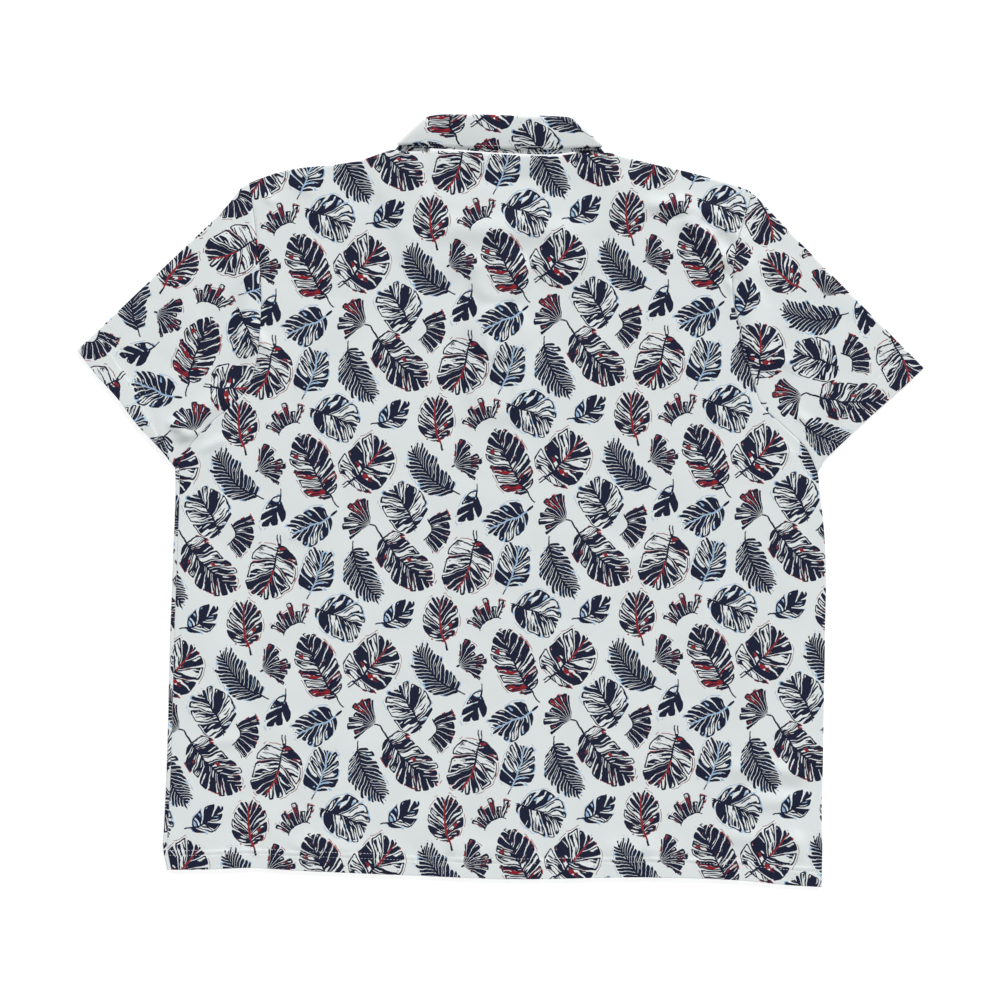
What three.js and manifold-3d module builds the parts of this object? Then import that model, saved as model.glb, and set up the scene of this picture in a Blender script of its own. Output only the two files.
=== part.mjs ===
// A men's polo shirt laid flat, face down, with its back up.
// Millimetres, +Z up, +Y from the hem towards the collar, +X to the right of the back.
// Inside the tables, x runs from the centre line and y runs up from the middle of the hem.

import * as THREE from 'three';
import { mergeVertices } from 'three/addons/utils/BufferGeometryUtils.js';
import Module from 'manifold-3d';

const wasm = await Module();
wasm.setup();

// Cloth
const cloth = 1.2; // wall of one panel
const collarCloth = 1.4; // wall of the two-ply fall
const seamGap = 0.3; // between pieces that are sewn together
const layerStep = cloth + seamGap; // from one layer's middle to the next
const restSlack = 0.4; // air between the back and the front where they lie loose

// Body
const sideHeight = 436; // hem to underarm
const panelHeight = 768; // hem to the back neck
const panelWidth = 690; // at the chest, seam to seam
const hemDepth = 21;
const hemFold = 0.5; // extra height of the turned-up ply
const sideRows = 15;
const armholeRows = 15;
const shoulderColumns = 9;
const neckColumns = 12;

// Sleeves
const sleeveLength = 230; // along the folded top edge, from the armhole to the cuff
const cuffDepth = 27;
const sleeveSteps = 8;
const foldArcs = 3; // points round each folded edge

// Placket and buttons
const placketWidth = 32;
const placketBottom = 521;
const placketTop = 686.6;
const slitWidth = 20;
const slitBottom = 531;
const buttonRadius = 5.75;
const buttonThickness = 1.8;
const holeRadius = 0.8;
const holeOffset = 1.1; // from the button's middle, both ways
const buttonLevels = [700, 640, 580];
const buttonClearance = 2.15; // underside of the cloth that lies on a button

// Colours
const printedCloth = { color: 0xd6dcdb, roughness: 0.85, metalness: 0 };
const buttonPlastic = { color: 0xe9eaec, roughness: 0.35, metalness: 0 };

const sideSeams = [
  { y: 436, left: -344.5, right: 337 },
  { y: 413, left: -344, right: 339.2 },
  { y: 344, left: -346.5, right: 345.4 },
  { y: 254, left: -349.8, right: 344.6 },
  { y: 131, left: -353, right: 342.6 },
  { y: 61, left: -356, right: 341.3 },
  { y: 34, left: -357.2, right: 341.8 },
];

const hemLine = [
  { x: -353, y: 10 },
  { x: -318, y: 10 },
  { x: -265, y: 12 },
  { x: -212, y: 9 },
  { x: -95, y: 4 },
  { x: 14, y: 0 },
  { x: 148, y: 2 },
  { x: 250, y: -1 },
  { x: 303, y: -6 },
  { x: 341, y: -8.5 },
];

const armholeLeft = [
  { x: -344.5, y: 436 },
  { x: -328.6, y: 460 },
  { x: -303, y: 487 },
  { x: -286, y: 501 },
  { x: -267, y: 521 },
  { x: -258.6, y: 548 },
  { x: -254.4, y: 582 },
  { x: -253.3, y: 625 },
  { x: -257.6, y: 678 },
  { x: -266, y: 738 },
];

const armholeRight = [
  { x: 337, y: 431 },
  { x: 324.4, y: 457 },
  { x: 300, y: 481 },
  { x: 278, y: 502 },
  { x: 270, y: 522 },
  { x: 260.8, y: 559 },
  { x: 250.2, y: 599 },
  { x: 246.4, y: 625 },
  { x: 250.2, y: 668 },
  { x: 267.5, y: 728 },
];

const shoulderLeft = [
  { x: -266, y: 738 },
  { x: -254, y: 743 },
  { x: -233, y: 750 },
  { x: -212, y: 754 },
  { x: -170, y: 758.3 },
  { x: -148, y: 762.4 },
  { x: -127, y: 769 },
  { x: -112, y: 773 },
  { x: -101, y: 771 },
];

const backNeck = [
  { x: -101, y: 771 },
  { x: -60, y: 772 },
  { x: -27, y: 770 },
  { x: 4, y: 768 },
  { x: 33, y: 767 },
  { x: 56, y: 766.4 },
  { x: 88, y: 769.5 },
  { x: 105, y: 768 },
];

const shoulderRight = [
  { x: 105, y: 768 },
  { x: 112, y: 770 },
  { x: 136, y: 764.5 },
  { x: 172, y: 756 },
  { x: 199, y: 750 },
  { x: 240, y: 738.5 },
  { x: 260, y: 732 },
  { x: 267.5, y: 728 },
];

// Each sleeve lies as a flattened tube: its folded top edge, its cuff and its short underarm.
const sleeveLeftEdges = {
  top: [
    { x: -266, y: 738 },
    { x: -275, y: 732.5 },
    { x: -288.5, y: 715 },
    { x: -362, y: 643.5 },
    { x: -448.5, y: 561 },
  ],
  cuff: [
    { x: -448.5, y: 561 },
    { x: -428, y: 534.5 },
    { x: -406, y: 510 },
    { x: -383.7, y: 480.5 },
    { x: -360, y: 455.5 },
    { x: -351, y: 444.5 },
  ],
};

const sleeveRightEdges = {
  top: [
    { x: 267.5, y: 728 },
    { x: 276, y: 719.5 },
    { x: 300, y: 694 },
    { x: 372, y: 620.5 },
    { x: 449.5, y: 542 },
  ],
  cuff: [
    { x: 449.5, y: 542 },
    { x: 428, y: 521.8 },
    { x: 388, y: 486 },
    { x: 356, y: 455.8 },
    { x: 344.4, y: 444.8 },
    { x: 340.6, y: 437.6 },
  ],
};

// One row for each section of the collar, from one front end round the back to the other.
// seam is on the neckline, roll is the middle of the folded top, and edge is the fall's free edge.
const collarSections = [
  { seam: [-12, 687.5, 2.7], roll: [-12, 713, 1.8], edge: [-58, 652, 0.8] },
  { seam: [-42, 694, 2.7], roll: [-34, 719, 1.8], edge: [-79, 668, 0.8] },
  { seam: [-74, 713, 2.7], roll: [-58, 737, 1.8], edge: [-98, 703, 0.8] },
  { seam: [-92.5, 740, 2.9], roll: [-73, 761, 1.8], edge: [-111, 740, 0.8] },
  { seam: [-98, 759, 3.1], roll: [-77, 785, 1.8], edge: [-115, 765, 0.8] },
  { seam: [-99.5, 772.5, 3.3], roll: [-74.2, 804.2, 1.8], edge: [-107, 778.6, 0.9] },
  { seam: [-100.4, 773.5, 4.4], roll: [-76.6, 807.3, 4.2], edge: [-108.8, 780.6, 4.6] },
  { seam: [-99.5, 773.8, 5.5], roll: [-74.7, 805.2, 7.4], edge: [-107.2, 779.8, 8] },
  { seam: [-86, 774.8, 5.6], roll: [-64, 804.7, 7.8], edge: [-93, 783.5, 7.8] },
  { seam: [-50, 773.4, 4.9], roll: [-36, 804.8, 7.8], edge: [-45, 777.5, 6.9] },
  { seam: [0, 769.8, 4.8], roll: [0, 804, 7.8], edge: [4, 774, 6.9] },
  { seam: [50, 768, 4.9], roll: [40, 803.4, 7.8], edge: [45, 773, 6.9] },
  { seam: [86, 771.4, 5.6], roll: [73, 802, 7.8], edge: [88, 775, 7.8] },
  { seam: [102, 771.2, 5.5], roll: [86.5, 794, 7.4], edge: [106.6, 776, 8] },
  { seam: [103.4, 770.6, 4.4], roll: [88.8, 795.4, 4.6], edge: [108.4, 776.8, 4.6] },
  { seam: [102, 769.6, 3.3], roll: [86.5, 793.5, 1.8], edge: [107, 775.2, 0.9] },
  { seam: [100.5, 757, 3.1], roll: [83.5, 777, 1.8], edge: [116, 761, 0.8] },
  { seam: [94.5, 738, 2.9], roll: [76.5, 757, 1.8], edge: [112, 738, 0.8] },
  { seam: [74, 713, 2.7], roll: [58, 737, 1.8], edge: [98, 703, 0.8] },
  { seam: [42, 694, 2.7], roll: [34, 719, 1.8], edge: [79, 668, 0.8] },
  { seam: [12, 687.5, 2.7], roll: [12, 713, 1.8], edge: [58, 652, 0.8] },
];

// For the same sections, out points from the stand to the fall, radius is that of the rolled
// fold, and slant lengthens the fold where a section crosses the roll line aslant.
const under = [0, 0, -1];
const above = [0, 0, 1];
const leftward = [-0.72, 0.7, 0];
const rightward = [0.86, 0.51, 0];
const collarFolds = [
  { out: under, radius: 1, slant: 1 },
  { out: under, radius: 1, slant: 1 },
  { out: under, radius: 1, slant: 1.05 },
  { out: under, radius: 1, slant: 1.2 },
  { out: under, radius: 1, slant: 1.65 },
  { out: under, radius: 1.1, slant: 1.6 },
  { out: leftward, radius: 1.2, slant: 1 },
  { out: above, radius: 1.4, slant: 1.2 },
  { out: above, radius: 2.6, slant: 1.4 },
  { out: above, radius: 3.2, slant: 1 },
  { out: above, radius: 3.2, slant: 1 },
  { out: above, radius: 3.2, slant: 1 },
  { out: above, radius: 2.6, slant: 1.2 },
  { out: above, radius: 2, slant: 1.4 },
  { out: rightward, radius: 1.3, slant: 1 },
  { out: under, radius: 1, slant: 1.5 },
  { out: under, radius: 1, slant: 1.5 },
  { out: under, radius: 1, slant: 1.2 },
  { out: under, radius: 1, slant: 1.05 },
  { out: under, radius: 1, slant: 1 },
  { out: under, radius: 1, slant: 1 },
];
const leftTurn = 6; // the row at each outermost turn of the ring
const rightTurn = 14;
const collarSteps = 3; // steps from one section to the next
const fallStart = 2; // the fall begins this far below the roll's middle, on the stand's side
const turnRoom = 1; // the stand stops this much lower where the ring turns over at its sides
const standLap = 10; // the stand's left end passes the centre line by this much

// What lies under the body and lifts it: stretches with a half width and a height.
const underlay = [
  { name: 'left collar side', from: [-97, 776], to: [-92, 745], half: 22, height: 2.1 },
  { name: 'left collar leaf', from: [-92, 745], to: [-78, 715], half: 26, height: 2.1 },
  { name: 'left leaf body', from: [-78, 715], to: [-52, 690], half: 26, height: 2.1 },
  { name: 'left leaf point', from: [-60, 690], to: [-64, 672], half: 20, height: 2.1 },
  { name: 'right collar side', from: [98, 774], to: [93, 745], half: 22, height: 2.1 },
  { name: 'right collar leaf', from: [93, 745], to: [78, 715], half: 26, height: 2.1 },
  { name: 'right leaf body', from: [78, 715], to: [52, 690], half: 26, height: 2.1 },
  { name: 'right leaf point', from: [60, 690], to: [64, 672], half: 20, height: 2.1 },
  { name: 'front of the stand', from: [-44, 703], to: [44, 703], half: 16, height: 2.1 },
  { name: 'left neck point', from: [-107, 773], to: [-100, 765], half: 9, height: 3.3 },
  { name: 'right neck point', from: [109, 769], to: [103, 763], half: 9, height: 3.3 },
  { name: 'placket', from: [0, 690], to: [0, 522], half: 16, height: 1.6 },
  { name: 'middle button', from: [0, 640], to: [0, 640], half: 14, height: 3.9 },
  { name: 'lower button', from: [0, 580], to: [0, 580], half: 14, height: 3.9 },
];
const underlayMargin = 8;
const underlayFade = 22;

// Soft folds in the back and the tops of the sleeves, each along a line.
const folds = [
  { name: 'right shoulder, inner', from: [203, 694], to: [240, 655], width: 10, rise: 3.2 },
  { name: 'right shoulder, outer', from: [226, 706], to: [256, 676], width: 9, rise: 2.6 },
  { name: 'right shoulder, upper', from: [160, 716], to: [214, 706], width: 9, rise: 1.8 },
  { name: 'right armhole', from: [262, 650], to: [272, 560], width: 13, rise: 2.8 },
  { name: 'left armhole', from: [-266, 650], to: [-268, 565], width: 12, rise: 2.2 },
  { name: 'left underarm', from: [-334, 478], to: [-296, 512], width: 11, rise: 3 },
  { name: 'left shoulder', from: [-246, 722], to: [-258, 676], width: 9, rise: 1.8 },
  { name: 'above the front neckline', from: [-60, 690], to: [66, 686], width: 15, rise: 1.6 },
  { name: 'lower right, high', from: [250, 116], to: [318, 112], width: 9, rise: 2.4 },
  { name: 'lower right, middle', from: [262, 88], to: [320, 84], width: 8, rise: 1.8 },
  { name: 'lower right, low', from: [246, 46], to: [316, 42], width: 9, rise: 2.4 },
  { name: 'above the hem, left', from: [-215, 36], to: [-160, 33], width: 8, rise: 1.5 },
  { name: 'above the hem, middle', from: [-40, 31], to: [20, 29], width: 8, rise: 1.4 },
  { name: 'above the hem, right', from: [120, 32], to: [180, 30], width: 8, rise: 1.5 },
];

const seamFade = 30; // the back comes down to the front over this width beside a seam
const neckRaise = 2.7; // the back's neck edge stands on the collar stand
const neckRaiseFade = 32;

// ---------- small maths ----------

const lerp = (a, b, t) => a + (b - a) * t;
const clamp01 = (t) => Math.min(1, Math.max(0, t));
const smooth = (t) => clamp01(t) ** 2 * (3 - 2 * clamp01(t));

function curveThrough(rows) {
  const points = rows.map((row) => new THREE.Vector3(row.x, row.y, 0));
  return new THREE.CatmullRomCurve3(points, false, 'centripetal');
}

function distanceToStretch(x, y, stretch) {
  const [ax, ay] = stretch.from;
  const [bx, by] = stretch.to;
  const lengthSquared = (bx - ax) ** 2 + (by - ay) ** 2;
  const along = lengthSquared === 0 ? 0 : ((x - ax) * (bx - ax) + (y - ay) * (by - ay)) / lengthSquared;
  const t = clamp01(along);
  return Math.hypot(x - lerp(ax, bx, t), y - lerp(ay, by, t));
}

// A curve value between rows that never passes the rows' own values.
function betweenRows(values, position) {
  const last = values.length - 1;
  const index = Math.min(last - 1, Math.floor(position));
  const t = position - index;
  const slope = (i) => {
    if (i <= 0 || i >= last) return values[Math.min(i + 1, last)] - values[Math.max(i - 1, 0)];
    const before = values[i] - values[i - 1];
    const after = values[i + 1] - values[i];
    return before * after <= 0 ? 0 : (2 * before * after) / (before + after);
  };
  const a = values[index];
  const b = values[index + 1];
  const ta = slope(index);
  const tb = slope(index + 1);
  return a + ta * t + (3 * (b - a) - 2 * ta - tb) * t * t + (2 * (a - b) + ta + tb) * t * t * t;
}

// ---------- heights of the layers ----------

function liftAt(x, y) {
  let lift = 0;
  for (const stretch of underlay) {
    const beyond = distanceToStretch(x, y, stretch) - stretch.half - underlayMargin;
    lift = Math.max(lift, stretch.height * (1 - smooth(beyond / underlayFade)));
  }
  return lift;
}

function foldsAt(x, y) {
  let rise = 0;
  for (const fold of folds) {
    const d = distanceToStretch(x, y, fold) / fold.width;
    rise += fold.rise * Math.exp(-d * d);
  }
  return rise;
}

// ---------- solids from grids ----------

function closedSolid(upper, lower, ring) {
  const rows = upper.length;
  const columns = upper[0].length;
  const positions = [];
  for (const grid of [upper, lower]) {
    for (const row of grid) {
      for (const point of row) positions.push(point.x, point.y, point.z);
    }
  }
  const id = (layer, i, j) => (layer * rows + (i % rows)) * columns + j;
  const faces = [];
  const rim = (ax, ay, bx, by) => {
    faces.push(id(0, bx, by), id(0, ax, ay), id(1, ax, ay));
    faces.push(id(0, bx, by), id(1, ax, ay), id(1, bx, by));
  };
  const strips = ring ? rows : rows - 1;
  for (let i = 0; i < strips; i += 1) {
    for (let j = 0; j < columns - 1; j += 1) {
      faces.push(id(0, i, j), id(0, i + 1, j), id(0, i + 1, j + 1));
      faces.push(id(0, i, j), id(0, i + 1, j + 1), id(0, i, j + 1));
      faces.push(id(1, i, j), id(1, i + 1, j + 1), id(1, i + 1, j));
      faces.push(id(1, i, j), id(1, i, j + 1), id(1, i + 1, j + 1));
    }
    rim(i, 0, i + 1, 0);
    rim(i + 1, columns - 1, i, columns - 1);
  }
  if (!ring) {
    for (let j = 0; j < columns - 1; j += 1) {
      rim(0, j + 1, 0, j);
      rim(rows - 1, j, rows - 1, j + 1);
    }
  }
  return outwardGeometry(positions, faces);
}

function outwardGeometry(positions, faces) {
  let volume = 0;
  const corner = (k) => new THREE.Vector3().fromArray(positions, faces[k] * 3);
  for (let k = 0; k < faces.length; k += 3) {
    volume += corner(k).dot(corner(k + 1).cross(corner(k + 2)));
  }
  const turned = volume < 0 ? faces.slice().reverse() : faces;
  const geometry = new THREE.BufferGeometry();
  geometry.setAttribute('position', new THREE.Float32BufferAttribute(positions, 3));
  geometry.setIndex(turned);
  return geometry;
}

function wallAround(middle, thickness, ring) {
  const rows = middle.length;
  const columns = middle[0].length;
  const offset = (side) => middle.map((row, i) => row.map((point, j) => {
    const before = ring ? (i + rows - 1) % rows : Math.max(0, i - 1);
    const after = ring ? (i + 1) % rows : Math.min(rows - 1, i + 1);
    const across = middle[after][j].clone().sub(middle[before][j]);
    const along = row[Math.min(columns - 1, j + 1)].clone().sub(row[Math.max(0, j - 1)]);
    const normal = across.cross(along).normalize();
    return point.clone().addScaledVector(normal, (side * thickness) / 2);
  }));
  return closedSolid(offset(1), offset(-1), ring);
}

function toManifold(geometry) {
  const bare = geometry.clone();
  bare.deleteAttribute('normal');
  bare.deleteAttribute('uv');
  const merged = mergeVertices(bare, 1e-4);
  return new wasm.Manifold(new wasm.Mesh({
    numProp: 3,
    vertProperties: new Float32Array(merged.attributes.position.array),
    triVerts: new Uint32Array(merged.index.array),
  }));
}

function fromManifold(solid) {
  const mesh = solid.getMesh();
  const geometry = new THREE.BufferGeometry();
  geometry.setAttribute('position', new THREE.BufferAttribute(new Float32Array(mesh.vertProperties), 3));
  geometry.setIndex(new THREE.BufferAttribute(new Uint32Array(mesh.triVerts), 1));
  return geometry;
}

// ---------- the body's outline and its grid ----------

const leftSide = curveThrough([
  { x: hemLine[0].x, y: hemLine[0].y },
  ...sideSeams.map((row) => ({ x: row.left, y: row.y })).reverse(),
]);
const rightSide = curveThrough([
  { x: hemLine.at(-1).x, y: hemLine.at(-1).y },
  ...sideSeams.slice(1).map((row) => ({ x: row.right, y: row.y })).reverse(),
  armholeRight[0],
]);
const hem = curveThrough(hemLine);
const armholes = { left: curveThrough(armholeLeft), right: curveThrough(armholeRight) };
const topStretches = [shoulderLeft, backNeck, shoulderRight].map(curveThrough);

const underarmShare = 0.575; // of the way up a panel's side
const neckStart = 0.311; // of the way across a panel's top
const neckEnd = 0.697;

const rowStations = [];
for (let i = 0; i <= sideRows; i += 1) {
  const banded = [0, 0.5, 0.93, 1.15]; // rows over the hem's turned-up ply, in hem depths
  const start = banded.length - 1;
  const share = i < banded.length
    ? (banded[i] * hemDepth) / sideHeight
    : lerp((banded[start] * hemDepth) / sideHeight, 1, (i - start) / (sideRows - start));
  rowStations.push(share * underarmShare);
}
for (let i = 1; i <= armholeRows; i += 1) {
  const t = i / armholeRows;
  const closer = t * 1.35 - 0.35 * t * t; // rows lie closer together near the neck
  rowStations.push(lerp(underarmShare, 1, closer));
}

const columnStations = [];
for (let i = 0; i <= shoulderColumns; i += 1) columnStations.push((neckStart * i) / shoulderColumns);
for (let i = 1; i <= neckColumns; i += 1) columnStations.push(lerp(neckStart, neckEnd, i / neckColumns));
for (let i = 1; i <= shoulderColumns; i += 1) columnStations.push(lerp(neckEnd, 1, i / shoulderColumns));

function sideAt(side, armhole, v) {
  if (v <= underarmShare) return side.getPointAt(v / underarmShare);
  return armhole.getPointAt(Math.min(1, (v - underarmShare) / (1 - underarmShare)));
}

function topAt(u) {
  if (u <= neckStart) return topStretches[0].getPointAt(u / neckStart);
  if (u <= neckEnd) return topStretches[1].getPointAt((u - neckStart) / (neckEnd - neckStart));
  return topStretches[2].getPointAt(Math.min(1, (u - neckEnd) / (1 - neckEnd)));
}

// A patch filled in between four edges that share their corners.
function fillPatch(bottom, top, left, right, u, v) {
  const point = bottom(u).clone().multiplyScalar(1 - v);
  point.addScaledVector(top(u), v);
  point.addScaledVector(left(v), 1 - u);
  point.addScaledVector(right(v), u);
  point.addScaledVector(bottom(0), -(1 - u) * (1 - v));
  point.addScaledVector(bottom(1), -u * (1 - v));
  point.addScaledVector(top(0), -(1 - u) * v);
  point.addScaledVector(top(1), -u * v);
  return point;
}

function bodyPoint(u, v) {
  return fillPatch(
    (s) => hem.getPointAt(s),
    topAt,
    (s) => sideAt(leftSide, armholes.left, s),
    (s) => sideAt(rightSide, armholes.right, s),
    u,
    v,
  );
}

const bodyGrid = rowStations.map((v) => columnStations.map((u) => ({ u, v, point: bodyPoint(u, v) })));

// How loose the back lies over the front: not at all at the side and shoulder seams.
function looseness(u, v) {
  const fromSide = smooth((Math.min(u, 1 - u) * panelWidth) / seamFade);
  const atSide = v < underarmShare ? fromSide : lerp(fromSide, 1, smooth((v - underarmShare) / 0.06));
  const inNeck = u > neckStart && u < neckEnd;
  const fromTop = inNeck ? 1 : smooth(((1 - v) * panelHeight) / seamFade);
  return atSide * fromTop;
}

function hemPly(v) {
  return (v * sideHeight) / underarmShare <= hemDepth ? hemFold : 0;
}

function neckEdgeRaise(u, v, lift) {
  const inside = smooth((u - neckStart + 0.02) / 0.05) * smooth((neckEnd + 0.02 - u) / 0.05);
  const near = 1 - smooth(((1 - v) * panelHeight) / neckRaiseFade);
  return Math.max(0, neckRaise - lift) * inside * near;
}

function frontPanel() {
  const at = (rise) => bodyGrid.map((row) => row.map(({ v, point }) => {
    const z = liftAt(point.x, point.y) + (rise > 0 ? cloth + hemPly(v) : 0);
    return new THREE.Vector3(point.x, point.y, z);
  }));
  const sheet = toManifold(closedSolid(at(1), at(0), false));
  return fromManifold(sheet.subtract(prism(neckOpening())).subtract(prism(slitOutline())));
}

function backPanel() {
  const at = (side) => bodyGrid.map((row) => row.map(({ u, v, point }) => {
    const lift = liftAt(point.x, point.y);
    const loose = (restSlack + foldsAt(point.x, point.y)) * looseness(u, v);
    const under = lift + layerStep + loose + neckEdgeRaise(u, v, lift) + hemPly(v);
    return new THREE.Vector3(point.x, point.y, side > 0 ? under + cloth + hemPly(v) : under);
  }));
  return closedSolid(at(1), at(0), false);
}

// ---------- openings cut in the front ----------

function prism(outline) {
  const shape = new THREE.Shape(outline.map(([x, y]) => new THREE.Vector2(x, y)));
  const geometry = new THREE.ExtrudeGeometry(shape, { depth: 40, bevelEnabled: false });
  geometry.translate(0, 0, -10);
  return toManifold(geometry);
}

function slitOutline() {
  const half = slitWidth / 2;
  return [[-half, slitBottom], [half, slitBottom], [half, 700], [-half, 700]];
}

// The scoop follows the stand's seam edge, a seam's gap outside it.
function neckOpening() {
  const frontLeft = collarStations.filter((station) => station.position <= leftTurn);
  const frontRight = collarStations.filter((station) => station.position >= rightTurn);
  const seam = [
    ...frontRight.map((station) => station.seam),
    new THREE.Vector3(standLap, 687.3, 0),
    ...frontLeft.map((station) => station.seam),
  ].sort((a, b) => a.x - b.x);
  const outline = seam.map((point, i) => {
    const before = seam[Math.max(0, i - 1)];
    const after = seam[Math.min(seam.length - 1, i + 1)];
    const length = Math.hypot(after.x - before.x, after.y - before.y);
    const nx = (after.y - before.y) / length;
    const ny = -(after.x - before.x) / length;
    return [point.x + nx * seamGap, point.y + ny * seamGap];
  });
  const beyond = 840;
  return [...outline, [outline.at(-1)[0], beyond], [outline[0][0], beyond]];
}

// ---------- sleeves ----------

function sleeve(armhole, edges, outwards) {
  const armStations = rowStations.slice(sideRows).map((v) => (v - underarmShare) / (1 - underarmShare));
  const stations = armStations.map((s) => 1 - s).reverse(); // from the shoulder down to the underarm
  const rim = (w) => {
    const s = clamp01(1 - w);
    const tangent = armhole.getTangentAt(s);
    const step = new THREE.Vector3(-tangent.y, tangent.x, 0).multiplyScalar(outwards * seamGap);
    return armhole.getPointAt(s).clone().add(step);
  };
  const topEdge = curveThrough([rim(0), ...edges.top.slice(1)]);
  const cuff = curveThrough(edges.cuff);
  const patch = (w, t) => fillPatch(
    rim,
    (s) => cuff.getPointAt(s),
    (s) => topEdge.getPointAt(s),
    (s) => rim(1).lerp(cuff.getPointAt(1), s),
    w,
    t,
  );
  const plainSteps = sleeveSteps - 3;
  const cuffShare = cuffDepth / sleeveLength;
  const steps = [];
  for (let k = 0; k <= plainSteps; k += 1) steps.push(((1 - cuffShare * 1.15) * k) / plainSteps);
  steps.push(1 - cuffShare * 0.95, 1 - cuffShare * 0.5, 1);
  const columns = steps.map((t) => {
    const plan = stations.map((w) => patch(w, t));
    const ply = t >= 1 - cuffShare ? hemFold : 0;
    const heights = plan.map((p) => restSlack + foldsAt(p.x, p.y));
    return { plan, ply, heights };
  });
  const place = (side) => columns.map(({ plan, ply, heights }) => {
    const last = plan.length - 1;
    const half = (side * cloth) / 2;
    const lowMiddle = cloth / 2;
    const ring = [];
    const outwardAt = (end) => {
      const from = end === 0 ? plan[1] : plan[last - 1];
      return plan[end].clone().sub(from).setZ(0).normalize();
    };
    const foldRadius = (layerStep + restSlack) / 2;
    const inset = foldRadius + cloth / 2;
    const foldCentre = (end) => plan[end].clone().addScaledVector(outwardAt(end), -inset);
    const flatPoint = (k) => (k === 0 || k === last ? foldCentre(k) : plan[k].clone());
    const fade = (k) => smooth(Math.min(k, last - k) / 2);
    for (let k = 0; k <= last; k += 1) {
      const rise = heights[k] - restSlack + ply + (side > 0 ? ply : 0);
      ring.push(flatPoint(k).setZ(lowMiddle + layerStep + restSlack + half + rise * fade(k)));
    }
    const arc = (end, direction) => {
      for (let a = 1; a <= foldArcs; a += 1) {
        const angle = (Math.PI / 2) - (Math.PI * a) / (foldArcs + 1);
        const reach = foldRadius + half;
        const point = foldCentre(end).addScaledVector(outwardAt(end), Math.cos(angle) * reach);
        point.z = lowMiddle + foldRadius + direction * Math.sin(angle) * reach;
        ring.push(point);
      }
    };
    arc(last, 1);
    for (let k = last; k >= 0; k -= 1) {
      ring.push(flatPoint(k).setZ(lowMiddle - half + (side < 0 ? ply * fade(k) : 0)));
    }
    arc(0, -1);
    return ring;
  });
  const turned = (grid) => grid[0].map((_, i) => grid.map((row) => row[i]));
  return closedSolid(turned(place(1)), turned(place(-1)), true);
}

// ---------- collar ----------

function collarStation(position) {
  const between = (rows, key) => betweenRows(rows.map((row) => row[key]), position);
  const vector = (rows, key) => new THREE.Vector3(
    ...[0, 1, 2].map((axis) => betweenRows(rows.map((row) => row[key][axis]), position)),
  );
  const seam = vector(collarSections, 'seam');
  const roll = vector(collarSections, 'roll');
  const edge = vector(collarSections, 'edge');
  const out = vector(collarFolds, 'out').normalize();
  const up = roll.clone().sub(seam);
  up.addScaledVector(out, -up.dot(out)).normalize();
  up.multiplyScalar(between(collarFolds, 'slant'));
  return { position, seam, roll, edge, out, up, radius: between(collarFolds, 'radius') };
}

const collarStations = [];
for (let k = 0; k <= (collarSections.length - 1) * collarSteps; k += 1) {
  collarStations.push(collarStation(k / collarSteps));
}

function collarFall() {
  const rollSteps = 5;
  const fallSteps = 4;
  const middle = collarStations.map(({ roll, edge, out, up, radius }) => {
    const section = [roll.clone().addScaledVector(up, -fallStart).addScaledVector(out, -radius)];
    for (let k = 0; k <= rollSteps; k += 1) {
      const angle = (Math.PI * k) / rollSteps;
      const point = roll.clone().addScaledVector(up, Math.sin(angle) * radius);
      section.push(point.addScaledVector(out, -Math.cos(angle) * radius));
    }
    const rollEnd = section.at(-1);
    for (let k = 1; k <= fallSteps; k += 1) section.push(rollEnd.clone().lerp(edge, k / fallSteps));
    return section;
  });
  return wallAround(middle, collarCloth, false);
}

function collarStand() {
  const bandSteps = 3;
  const first = collarStations[0];
  const last = collarStations.at(-1);
  const moved = (station, x) => {
    const shift = (point) => new THREE.Vector3(x, point.y - 0.2, point.z);
    return { ...station, seam: shift(station.seam), roll: shift(station.roll) };
  };
  const ends = {
    left: [moved(first, standLap - seamGap), moved(first, -2)],
    right: [moved(last, standLap + seamGap)],
  };
  const middle = [...ends.left, ...collarStations, ...ends.right].map(({ seam, roll, out, up, radius }) => {
    const reach = fallStart + seamGap * 2 + turnRoom * (1 - Math.abs(out.z));
    const top = roll.clone().addScaledVector(up, -reach).addScaledVector(out, -radius);
    const section = [];
    for (let k = 0; k <= bandSteps; k += 1) section.push(seam.clone().lerp(top, k / bandSteps));
    return section;
  });
  return wallAround(middle, cloth, false);
}

// ---------- placket and buttons ----------

function buttonLift(x, y) {
  let lift = 0;
  for (const level of buttonLevels.slice(1)) {
    const beyond = Math.hypot(x, y - level) - 12;
    lift = Math.max(lift, buttonClearance * (1 - smooth(beyond / 12)));
  }
  return lift;
}

const placketRows = 20;
const placketLevels = Array.from({ length: placketRows + 1 }, (_, i) => (
  lerp(placketBottom, placketTop, i / placketRows)
));

function strip(across, levels, underside) {
  const at = (rise) => levels.map((y) => across.map((x) => new THREE.Vector3(x, y, underside(x, y) + rise)));
  return closedSolid(at(cloth), at(0), false);
}

function placketUpper() {
  const half = placketWidth / 2;
  const inner = slitWidth / 2 - seamGap;
  return strip([-half, -inner, 0, inner, half], placketLevels, buttonLift);
}

function placketUnder() {
  const half = slitWidth / 2 - seamGap;
  const bottom = slitBottom + seamGap;
  const levels = [bottom, ...placketLevels.filter((y) => y > bottom + 1)];
  return strip([-half, 0, half], levels, (x, y) => buttonLift(x, y) + layerStep);
}

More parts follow.
